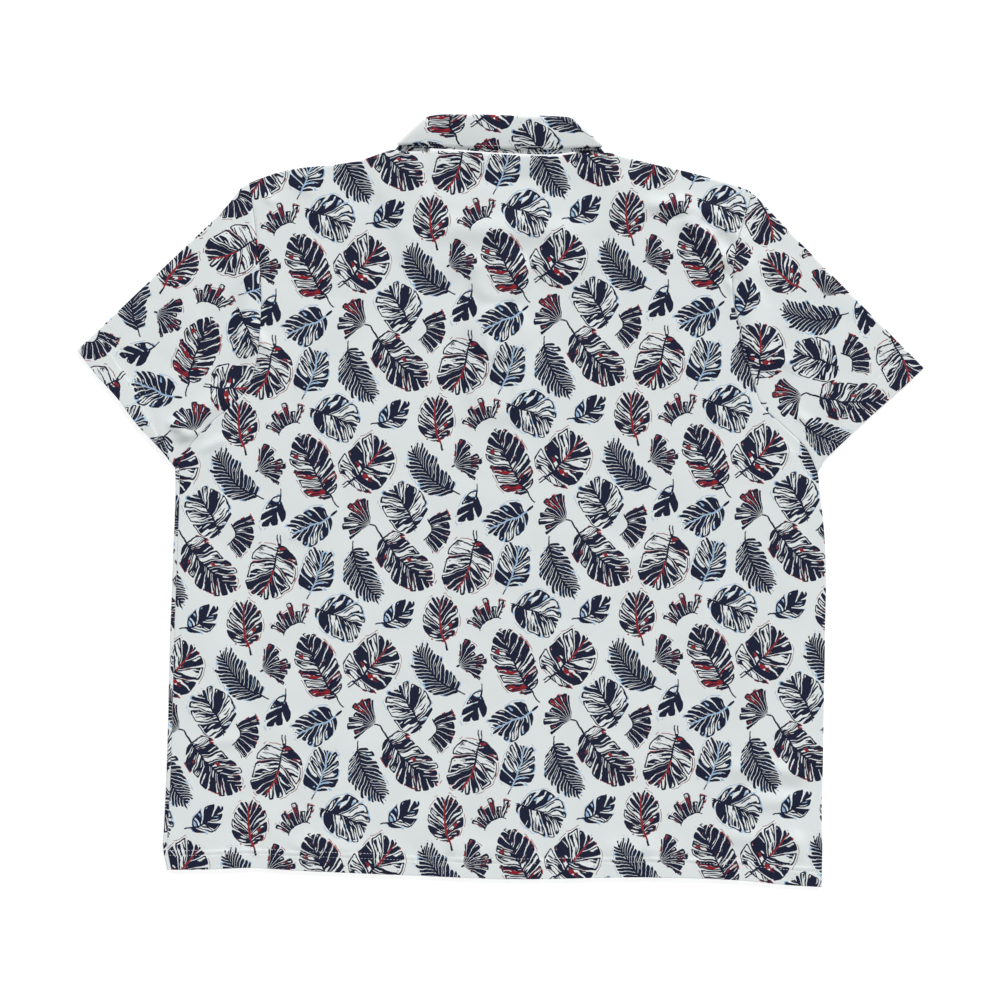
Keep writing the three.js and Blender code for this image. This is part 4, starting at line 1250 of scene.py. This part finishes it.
# One row for each section of the collar, from one front end round the back to the other.
# seam is on the neckline, roll is the middle of the folded top, edge is the fall's free edge,
# out points from the stand to the fall, radius is that of the rolled fold, and slant lengthens
# the fold where a section crosses the roll line aslant.
under, above = (0, 0, -1), (0, 0, 1)
leftward, rightward = (-0.72, 0.7, 0), (0.86, 0.51, 0)
collarColumns = ("seam", "roll", "edge", "out", "radius", "slant")
collarSections = [dict(zip(collarColumns, row)) for row in [
    ((-12, 687.5, 2.7), (-12, 713, 1.8), (-58, 652, 0.8), under, 1, 1),
    ((-42, 694, 2.7), (-34, 719, 1.8), (-79, 668, 0.8), under, 1, 1),
    ((-74, 713, 2.7), (-58, 737, 1.8), (-98, 703, 0.8), under, 1, 1.05),
    ((-92.5, 740, 2.9), (-73, 761, 1.8), (-111, 740, 0.8), under, 1, 1.2),
    ((-98, 759, 3.1), (-77, 785, 1.8), (-115, 765, 0.8), under, 1, 1.65),
    ((-99.5, 772.5, 3.3), (-74.2, 804.2, 1.8), (-107, 778.6, 0.9), under, 1.1, 1.6),
    ((-100.4, 773.5, 4.4), (-76.6, 807.3, 4.2), (-108.8, 779.2, 4.6), leftward, 1.2, 1),
    ((-99.5, 773.8, 5.5), (-74.7, 805.2, 7.4), (-107.2, 777.2, 8), above, 1.4, 1.2),
    ((-86, 774.8, 5.6), (-64, 804.7, 7.8), (-93, 778.2, 7.8), above, 2.6, 1.4),
    ((-50, 773.4, 4.9), (-36, 804.8, 7.8), (-45, 775.2, 6.9), above, 3.2, 1),
    ((0, 769.8, 4.8), (0, 804, 7.8), (4, 774, 6.9), above, 3.2, 1),
    ((50, 768, 4.9), (40, 803.4, 7.8), (45, 773, 6.9), above, 3.2, 1),
    ((86, 771.4, 5.6), (73, 802, 7.8), (88, 775, 7.8), above, 2.6, 1.2),
    ((102, 771.2, 5.5), (86.5, 794, 7.4), (106.6, 776, 8), above, 2, 1.4),
    ((103.4, 770.6, 4.4), (88.8, 795.4, 4.6), (108.4, 776.8, 4.6), rightward, 1.3, 1),
    ((102, 769.6, 3.3), (86.5, 793.5, 1.8), (107, 775.2, 0.9), under, 1, 1.5),
    ((100.5, 757, 3.1), (83.5, 777, 1.8), (116, 761, 0.8), under, 1, 1.5),
    ((94.5, 738, 2.9), (76.5, 757, 1.8), (112, 738, 0.8), under, 1, 1.2),
    ((74, 713, 2.7), (58, 737, 1.8), (98, 703, 0.8), under, 1, 1.05),
    ((42, 694, 2.7), (34, 719, 1.8), (79, 668, 0.8), under, 1, 1),
    ((12, 687.5, 2.7), (12, 713, 1.8), (58, 652, 0.8), under, 1, 1),
]]
collar = {
    "leftTurn": 6,  # the section at each outermost turn of the ring
    "rightTurn": 14,
    "steps": 9,  # from one section to the next
    "fallStart": 2,  # the fall begins this far below the roll's middle, on the stand's side
    "turnRoom": 1,
    "standLap": 10,  # where the stand's ends meet, beside the centre line
    "standLapLevel": 687.3,
    "standLapStops": (4, -3),  # where the left end passes on its way there
    "standLapDrop": 0.2,
    "rollSteps": 12,
    "fallSteps": 11,
    "standSteps": 7,
    "fallOuter": -1,  # which side of the fall and of the stand is seen
    "standOuter": 1,
    "rollRaise": 1.6,  # the cloth rolls a little higher than its solid
    "bulge": 0.7,  # how far the fall swells between its roll and its edge
    "fallTurn": 4,
    "fallShift": (70, 31),
    "standShift": (150, 120),
}


def collarStations(position):
    position = np.asarray(position, float)

    def vector(key):
        rows = np.array([row[key] for row in collarSections], float)
        return np.stack([betweenRows(rows[:, axis], position) for axis in range(3)], axis=-1)

    seam, roll, edge, out = (vector(key) for key in ("seam", "roll", "edge", "out"))
    out /= np.linalg.norm(out, axis=1, keepdims=True)
    roll[:, 1] += collar["rollRaise"] * np.maximum(0, out[:, 2])
    up = roll - seam
    up -= out * (up * out).sum(axis=1, keepdims=True)
    up /= np.linalg.norm(up, axis=1, keepdims=True)
    up *= betweenRows([row["slant"] for row in collarSections], position)[:, None]
    radius = betweenRows([row["radius"] for row in collarSections], position)[:, None]
    return {"seam": seam, "roll": roll, "edge": edge, "out": out, "up": up, "radius": radius}


def lengthAlong(points, axis):
    steps = np.linalg.norm(np.diff(points, axis=axis), axis=-1)
    start = np.zeros_like(np.take(steps, [0], axis=axis))
    return np.cumsum(np.concatenate([start, steps], axis=axis), axis=axis)


def collarPositions():
    last = len(collarSections) - 1
    return np.linspace(0, last, last * collar["steps"] + 1)


def makeCollarFall():
    at = collarStations(collarPositions())
    roll, out, up, radius, edge = (at[key] for key in ("roll", "out", "up", "radius", "edge"))
    section = [roll - up * collar["fallStart"] - out * radius]
    for k in range(collar["rollSteps"] + 1):
        angle = math.pi * k / collar["rollSteps"]
        section.append(roll + up * math.sin(angle) * radius - out * math.cos(angle) * radius)
    rollEnd = section[-1]
    for k in range(1, collar["fallSteps"] + 1):
        share = k / collar["fallSteps"]
        swell = out * collar["bulge"] * math.sin(math.pi * share) * (out[:, 2:] > 0.5)
        section.append(lerp(rollEnd, edge, share) + swell)
    middle = np.stack(section, axis=1)
    along = lengthAlong(middle, 0).mean(axis=1, keepdims=True) + 0 * middle[..., 0]
    across = -lengthAlong(middle, 1)
    fabric = fabricAt(along, across, collar["fallTurn"], collar["fallShift"])
    fall = shellMesh("collarFall", middle, cloth["collarWall"], fabric, materials=(printedCloth,))
    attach(fall, "root")
    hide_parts("collar_fall")
    return fall, middle


def makeCollarStand():
    at = collarStations(collarPositions())
    parts = {key: at[key] for key in ("seam", "roll", "out", "up", "radius")}

    def moved(index, x):
        end = {key: parts[key][index:index + 1 or None].copy() for key in parts}
        for key in ("seam", "roll"):
            end[key][:, 0] = x
            end[key][:, 1] -= collar["standLapDrop"]
        return end

    lap, gap = collar["standLap"], cloth["seamGap"]
    leftEnd = [moved(0, x) for x in (lap - gap, *collar["standLapStops"])]
    order = [*leftEnd, parts, moved(-1, lap + gap)]
    seam, roll, out, up, radius = (np.vstack([part[key] for part in order]) for key in parts)
    reach = collar["fallStart"] + gap * 2 + collar["turnRoom"] * (1 - np.abs(out[:, 2:]))
    top = roll - up * reach - out * radius
    shares = np.linspace(0, 1, collar["standSteps"] + 1)
    middle = np.stack([lerp(seam, top, share) for share in shares], axis=1)
    along = lengthAlong(middle, 0).mean(axis=1, keepdims=True) + 0 * middle[..., 0]
    fabric = fabricAt(along, lengthAlong(middle, 1), 0, collar["standShift"])
    stand = shellMesh("collarStand", middle, cloth["wall"], fabric, materials=(printedCloth,))
    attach(stand, "root")
    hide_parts("collar_stand")
    return stand, middle


placket = {
    "width": 32,
    "bottom": 521,
    "top": 686.6,
    "slitWidth": 20,
    "slitBottom": 531,
    "slitTop": 700,  # above the neck's edge, so the slit is open there
    "rows": 200,
    "columns": 40,
    "clearance": 2.15,  # underside of the cloth that lies on a button
    "levels": (640, 580),
    "liftReach": 12,  # round a button the strip is lifted this far, then falls as far again
    "underShift": (90, 12),
    "seamInset": 2.5,
    "seamDip": 0.3,
    "boxHeight": 24,
}


def buttonLift(x, y):
    lift = np.zeros_like(x)
    for level in placket["levels"]:
        beyond = np.hypot(x, y - level) - placket["liftReach"]
        lift = np.maximum(lift, placket["clearance"] * (1 - smooth(beyond / placket["liftReach"])))
    return lift


placketBoxTop = placket["bottom"] + placket["seamInset"] + placket["boxHeight"]


def placketCross(way):  # a diagonal of the box that is sewn at the placket's foot
    half = placket["width"] / 2 - placket["seamInset"]
    low = placket["bottom"] + placket["seamInset"]
    return {"from": (-half * way, low), "to": (half * way, placketBoxTop)}


def placketDip(x, y):  # the cloth is drawn in where the placket's edges are sewn
    inset = placket["seamInset"]
    fromEdge = np.minimum(placket["width"] / 2 - np.abs(x), y - placket["bottom"])
    away = np.minimum(np.abs(fromEdge - inset), np.abs(y - placketBoxTop))
    for way in (1, -1):
        away = np.minimum(away, distanceTo(x, y, placketCross(way)))
    return placket["seamDip"] * np.exp(-((away / cloth["rowHalf"]) ** 2))


def makeStrip(name, node, half, bottom, height, shift):
    columns = np.linspace(-half, half, placket["columns"])
    x, y = np.meshgrid(columns, np.linspace(bottom, placket["top"], placket["rows"]))
    dip = placketDip(x, y) * (height == 0)
    wall = cloth["wall"] - dip
    middle = np.stack([x, y, buttonLift(x, y) + height + dip + wall / 2], axis=-1)
    fabric = fabricAt(-x, y, panels["grainTurn"], shift)
    strip = shellMesh(name, middle, wall, fabric, materials=(printedCloth,))
    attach(strip, "root")
    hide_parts(node)
    return strip


button = {
    "radius": 5.75,
    "thickness": 1.8,
    "rimWidth": 1.2,
    "dish": 0.35,
    "holeRadius": 0.8,
    "holeOffset": 1.1,
    "holeSides": 16,
    "sides": 48,
    "sharpAbove": 40,  # degrees
    "threadRadius": 0.28,
    "threadSides": 6,
    "threadProud": 0.02,  # how far the middle of a thread stands off the dish
}


def turned(profile, level, sides):  # points and faces of a profile turned round an upright axis
    points, starts, faces = [], [], []
    for radius, z in profile:
        starts.append(len(points))
        angles = [0.0] if radius == 0 else [math.tau * k / sides for k in range(sides)]
        points += [(radius * math.cos(a), level + radius * math.sin(a), z) for a in angles]
    last = len(profile) - 2
    for ring, (a, b) in enumerate(zip(starts, starts[1:])):
        for k in range(sides):
            n = (k + 1) % sides
            if ring == 0:
                faces.append((a, b + n, b + k))
            elif ring == last:
                faces.append((a + k, a + n, b))
            else:
                faces.append((a + k, a + n, b + n, b + k))
    return points, faces


def makeButton(number, level):
    # the shown face is the one that lies on the floor, so the dish is underneath
    high, rim, outer = button["thickness"], button["rimWidth"], button["radius"]
    profile = [
        (0, button["dish"]), (outer - rim - 0.9, button["dish"]), (outer - rim - 0.3, 0.22),
        (outer - rim, 0.04), (outer - 0.55, 0), (outer - 0.16, 0.16), (outer, 0.55), (outer, high - 0.5),
        (outer - 0.3, high - 0.12), (outer - 0.8, high), (0, high),
    ]
    points, faces = turned(profile, level, button["sides"])
    piece = newPiece(f"button{number}", points, (), faces, [buttonLook])
    offset, hole = button["holeOffset"], button["holeRadius"]
    angles = [math.tau * k / button["holeSides"] for k in range(button["holeSides"])]
    for x in (-offset, offset):
        for y in (level - offset, level + offset):
            outline = [(x + hole * math.cos(a), y + hole * math.sin(a)) for a in angles]
            cutAway(piece, outline, "holeCutter")
    smoothShaded(piece)
    piece.data.set_sharp_from_angle(angle=math.radians(button["sharpAbove"]))
    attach(piece, "root")
    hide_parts(f"button_{number}")


front, frontArea = makeFront()
print("front made")
sleevePieces = {side: makeSleeve(side) for side in sleeves}
print("sleeves made")
fall, fallMiddle = makeCollarFall()
stand, standMiddle = makeCollarStand()
print("collar made")
upperHalf = placket["width"] / 2
innerHalf = placket["slitWidth"] / 2 - cloth["seamGap"]
innerBottom = placket["slitBottom"] + cloth["seamGap"]
upperStrip = makeStrip(
    "placketUpper", "placket_upper", upperHalf, placket["bottom"], 0, panels["frontShift"]
)
lowerStrip = makeStrip(
    "placketUnder", "placket_under", innerHalf, innerBottom, layerStep, placket["underShift"]
)
buttonLevels = (topButtonHeight, *placket["levels"])
for number, level in enumerate(buttonLevels, 1):
    makeButton(number, level)
print("placket and buttons made")


stitches = {
    "pitch": 3.4,
    "length": 2.7,
    "width": 0.3,
    "jitter": 0.16,
    "collarInset": 5,
    "sink": 0.12,
    "lowest": 0.22,
    "hemPoints": 300,  # points along a hem that a row follows
    "hemEnds": (0.002, 0.998),  # shares of the way across where it starts and ends
    "probe": 0.4,  # how far above and below a row its slope is read
    "standShare": 0.4,  # the stand's row lies between its first two lines
    "placketPoints": 60,
    "proud": 0.04,  # how far the placket's rows stand off
}


def stitchTree():
    tree = bpy.data.node_groups.new("stitches", "GeometryNodeTree")
    inputs = {}
    kinds = {"Geometry": "Geometry", "Seed": "Int"}
    for name in ("Geometry", "Pitch", "Length", "Width", "Jitter", "Seed"):
        kind = f"NodeSocket{kinds.get(name, 'Float')}"
        inputs[name] = tree.interface.new_socket(name, in_out="INPUT", socket_type=kind).identifier
    tree.interface.new_socket("Geometry", in_out="OUTPUT", socket_type="NodeSocketGeometry")

    graph = Graph(tree)
    given = graph.node("NodeGroupInput")
    geometry, pitch, length, width, jitter, seed = (given.out(name) for name in inputs)
    rows = graph.node("GeometryNodeMeshToCurve", {}, {"Mesh": geometry})
    points = graph.node("GeometryNodeResampleCurve", {"mode": "LENGTH"}, {"Curve": rows, "Length": pitch})
    ahead = graph.node("GeometryNodeInputTangent")
    turn = graph.node("FunctionNodeAlignRotationToVector", {"axis": "X"}, {"Vector": ahead})
    dice = {2: 1.0 - jitter, 3: 1.0 + jitter, "Seed": seed}
    uneven = graph.node("FunctionNodeRandomValue", {"data_type": "FLOAT"}, dice, 1)
    ball = graph.node("GeometryNodeMeshUVSphere", {}, {"Segments": 6, "Rings": 5, "Radius": 1.0})
    size = graph.combine(length * 0.5, width, width)
    stitch = graph.node("GeometryNodeTransform", {}, {"Geometry": ball, "Scale": size})
    sockets = {"Points": points, "Instance": stitch, "Rotation": turn, "Scale": uneven}
    made = graph.node("GeometryNodeInstanceOnPoints", {}, sockets)
    for kind, settings in (
        ("GeometryNodeRealizeInstances", {}), ("GeometryNodeSetShadeSmooth", {}),
        ("GeometryNodeSetMaterial", {"Material": threadLook}),
    ):
        made = graph.node(kind, {}, {"Geometry": made, **settings})
    graph.end("NodeGroupOutput", "Geometry", made)
    return tree, inputs


stitchNodes, stitchInputs = stitchTree()


def sewn(name, rows, seed):  # rows of stitches along lines of points on the cloth
    starts = np.cumsum([0] + [len(row) for row in rows])
    edges = [(start + k, start + k + 1) for start, row in zip(starts, rows) for k in range(len(row) - 1)]
    piece = newPiece(name, np.vstack(rows), edges)
    modifier = piece.modifiers.new("stitches", "NODES")
    modifier.node_group = stitchNodes
    values = {
        "Pitch": stitches["pitch"] * mm, "Length": stitches["length"] * mm, "Width": stitches["width"] * mm,
        "Jitter": stitches["jitter"], "Seed": seed,
    }
    for key, value in values.items():
        modifier[stitchInputs[key]] = value
    applyModifiers(piece)
    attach(piece, "root")
    return piece


def surfaceOf(middle, wall, outer, ring=False):  # the points of a wall's right side
    wall = np.broadcast_to(np.asarray(wall, float), middle.shape[:2])[..., None]
    return middle + gridNormals(middle, ring) * (wall / 2 - stitches["sink"]) * outer


def hemStitches(surface, outer):
    rows = []
    u = np.linspace(*stitches["hemEnds"], stitches["hemPoints"])
    probe = stitches["probe"]
    for height in cloth["hemRows"]:
        v = np.array([height - probe, height, height + probe]) * body["underarm"] / body["sideHeight"]
        middle, wall, _, _ = surface(u, v)
        rows.append(surfaceOf(middle, wall, outer)[1])
    return rows


def cuffStitches(side):
    middle, wall, fromCuff, across, lowerStart = sleeveRings[side]
    surface = surfaceOf(middle, wall, -sleeves[side]["outwards"], ring=True)
    rows = []
    for distance in cloth["cuffRows"]:
        k = int(np.argmin(np.abs(fromCuff - distance)))
        rows.append(surface[2:across - 2, k])
        lower = surface[lowerStart + 2:lowerStart + across - 2, k]
        rows.append(lower + (0, 0, stitches["width"] - stitches["sink"]))
    return rows


def collarStitches():
    outerSide = surfaceOf(fallMiddle, cloth["collarWall"], collar["fallOuter"])
    fromEdge = lengthAlong(outerSide[:, ::-1], 1)
    k = int(np.argmin(np.abs(np.median(fromEdge, axis=0) - stitches["collarInset"])))
    row = outerSide[1:-1, ::-1][:, k].copy()
    row[:, 2] = np.maximum(row[:, 2], stitches["lowest"])
    return [row]


def standStitches():
    outerSide = surfaceOf(standMiddle, cloth["wall"], collar["standOuter"])
    return [lerp(outerSide[1:-1, 0], outerSide[1:-1, 1], stitches["standShare"])]


def placketStitches():
    half = placket["width"] / 2 - placket["seamInset"]
    low, high = placket["bottom"] + placket["seamInset"], placket["top"] - placket["seamInset"]
    box = placketBoxTop
    corners = [(-half, high), (-half, low), (half, low), (half, high)]
    lines = [corners, [(-half, box), (half, box)], [(-half, low), (half, box)], [(-half, box), (half, low)]]
    rows = []
    for line in lines:
        steps = [np.linspace(a, b, stitches["placketPoints"]) for a, b in zip(line, line[1:])]
        x, y = np.vstack(steps).T
        rows.append(np.column_stack([x, y, buttonLift(x, y) + placketDip(x, y) + stitches["proud"]]))
    return rows


def makeThread(number, level):
    span = button["holeOffset"]
    rows = []
    for side in (-1, 1):
        a, b = (-span, level + side * span), (span, level - side * span)
        steps = np.linspace(a, b, 3)
        rows.append(np.column_stack([steps, np.full(len(steps), button["dish"] - button["threadProud"])]))
    vertices, faces = [], []
    sides = button["threadSides"]
    for row in rows:
        ahead = row[-1] - row[0]
        across = np.array([-ahead[1], ahead[0], 0]) / np.linalg.norm(ahead)
        start = len(vertices)
        for point in row:
            for k in range(sides):
                angle = math.tau * k / sides
                offset = across * math.cos(angle) + np.array([0, 0, 1]) * math.sin(angle)
                vertices.append(point + offset * button["threadRadius"])
        for ring in range(len(row) - 1):
            for k in range(sides):
                a = start + ring * sides + k
                b = start + ring * sides + (k + 1) % sides
                faces.append((a, b, b + sides, a + sides))
        faces.append(tuple(start + k for k in range(sides))[::-1])
        faces.append(tuple(start + (len(row) - 1) * sides + k for k in range(sides)))
    piece = newPiece(f"thread{number}", np.array(vertices), (), faces, [threadLook])
    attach(piece, "root")


backHem = sewn("backHemStitches", hemStitches(backSurface, -1), 1)
frontHem = sewn("frontHemStitches", hemStitches(frontSurface, 1), 2)
cuffs = {side: sewn(f"{side}CuffStitches", cuffStitches(side), 3) for side in sleeves}
fallSewing = sewn("collarStitches", collarStitches(), 5)
standSewing = sewn("standStitches", standStitches(), 6)
placketSewing = sewn("placketStitches", placketStitches(), 7)
for number, level in enumerate(buttonLevels, 1):
    makeThread(number, level)
print("stitches made")


stage = {
    "floor": linear(190, 190, 190),
    "floorGrain": 40,
    "floorShade": 0.99,  # how dark the grain's specks are
    "floorRoughness": 0.9,
    "floorGlow": 0.7,  # it glows a little, so that shadows on it stay faint
    "floorHalf": 24.0,
    "floorLevel": -0.0004,
    "cameraHeight": 2.506,
    "lens": 85,
    "sensor": 36,
    "farthest": 100,
    "viewCentre": (-0.0005, 0.0017),
    "world": 0.38,
    "sky": (0.95, 0.98, 1.0, 1),
    "suns": {
        "key": {"power": 2.25, "from": (0.55, 1.3, 0.85), "spread": 0.3},
        "fill": {"power": 0.35, "from": (-0.9, -0.3, 1.6), "spread": 0.9},
    },
}


def makeFloor():
    material, graph = newMaterial("floorPaper")
    speck = graph.noise(graph.node("ShaderNodeTexCoord", {}, (), "Object"), stage["floorGrain"], 2)
    darker = tuple(c * stage["floorShade"] for c in stage["floor"][:3]) + (1,)
    finished(material, graph, {
        "Base Color": graph.mixColour(speck, darker, stage["floor"]),
        "Roughness": stage["floorRoughness"],
        "Emission Color": (1, 1, 1, 1),
        "Emission Strength": stage["floorGlow"],
    })
    mesh = bpy.data.meshes.new("floor")
    size, low = stage["floorHalf"], stage["floorLevel"]
    corners = [(-size, -size, low), (size, -size, low), (size, size, low), (-size, size, low)]
    mesh.from_pydata(corners, [], [(0, 1, 2, 3)])
    mesh.materials.append(material)
    floor = bpy.data.objects.new("floor", mesh)
    bpy.context.scene.collection.objects.link(floor)


def makeLight():
    world = bpy.data.worlds.new("studio")
    world.use_nodes = True
    background = world.node_tree.nodes["Background"]
    background.inputs["Color"].default_value = stage["sky"]
    background.inputs["Strength"].default_value = stage["world"]
    bpy.context.scene.world = world
    for name, look in stage["suns"].items():
        light = bpy.data.lights.new(name, "SUN")
        light.energy = look["power"]
        light.angle = look["spread"]
        lamp = bpy.data.objects.new(name, light)
        lamp.location = look["from"]
        lamp.rotation_euler = (-Vector(look["from"])).to_track_quat("-Z", "Y").to_euler()
        bpy.context.scene.collection.objects.link(lamp)


def makeCamera():
    camera = bpy.data.cameras.new("camera")
    camera.lens = stage["lens"]
    camera.sensor_width = stage["sensor"]
    camera.clip_end = stage["farthest"]
    view = bpy.data.objects.new("camera", camera)
    view.location = (*stage["viewCentre"], stage["cameraHeight"])
    bpy.context.scene.collection.objects.link(view)
    bpy.context.scene.camera = view
    bpy.context.scene.view_settings.view_transform = "Standard"


makeFloor()
makeLight()
makeCamera()
print("stage made")
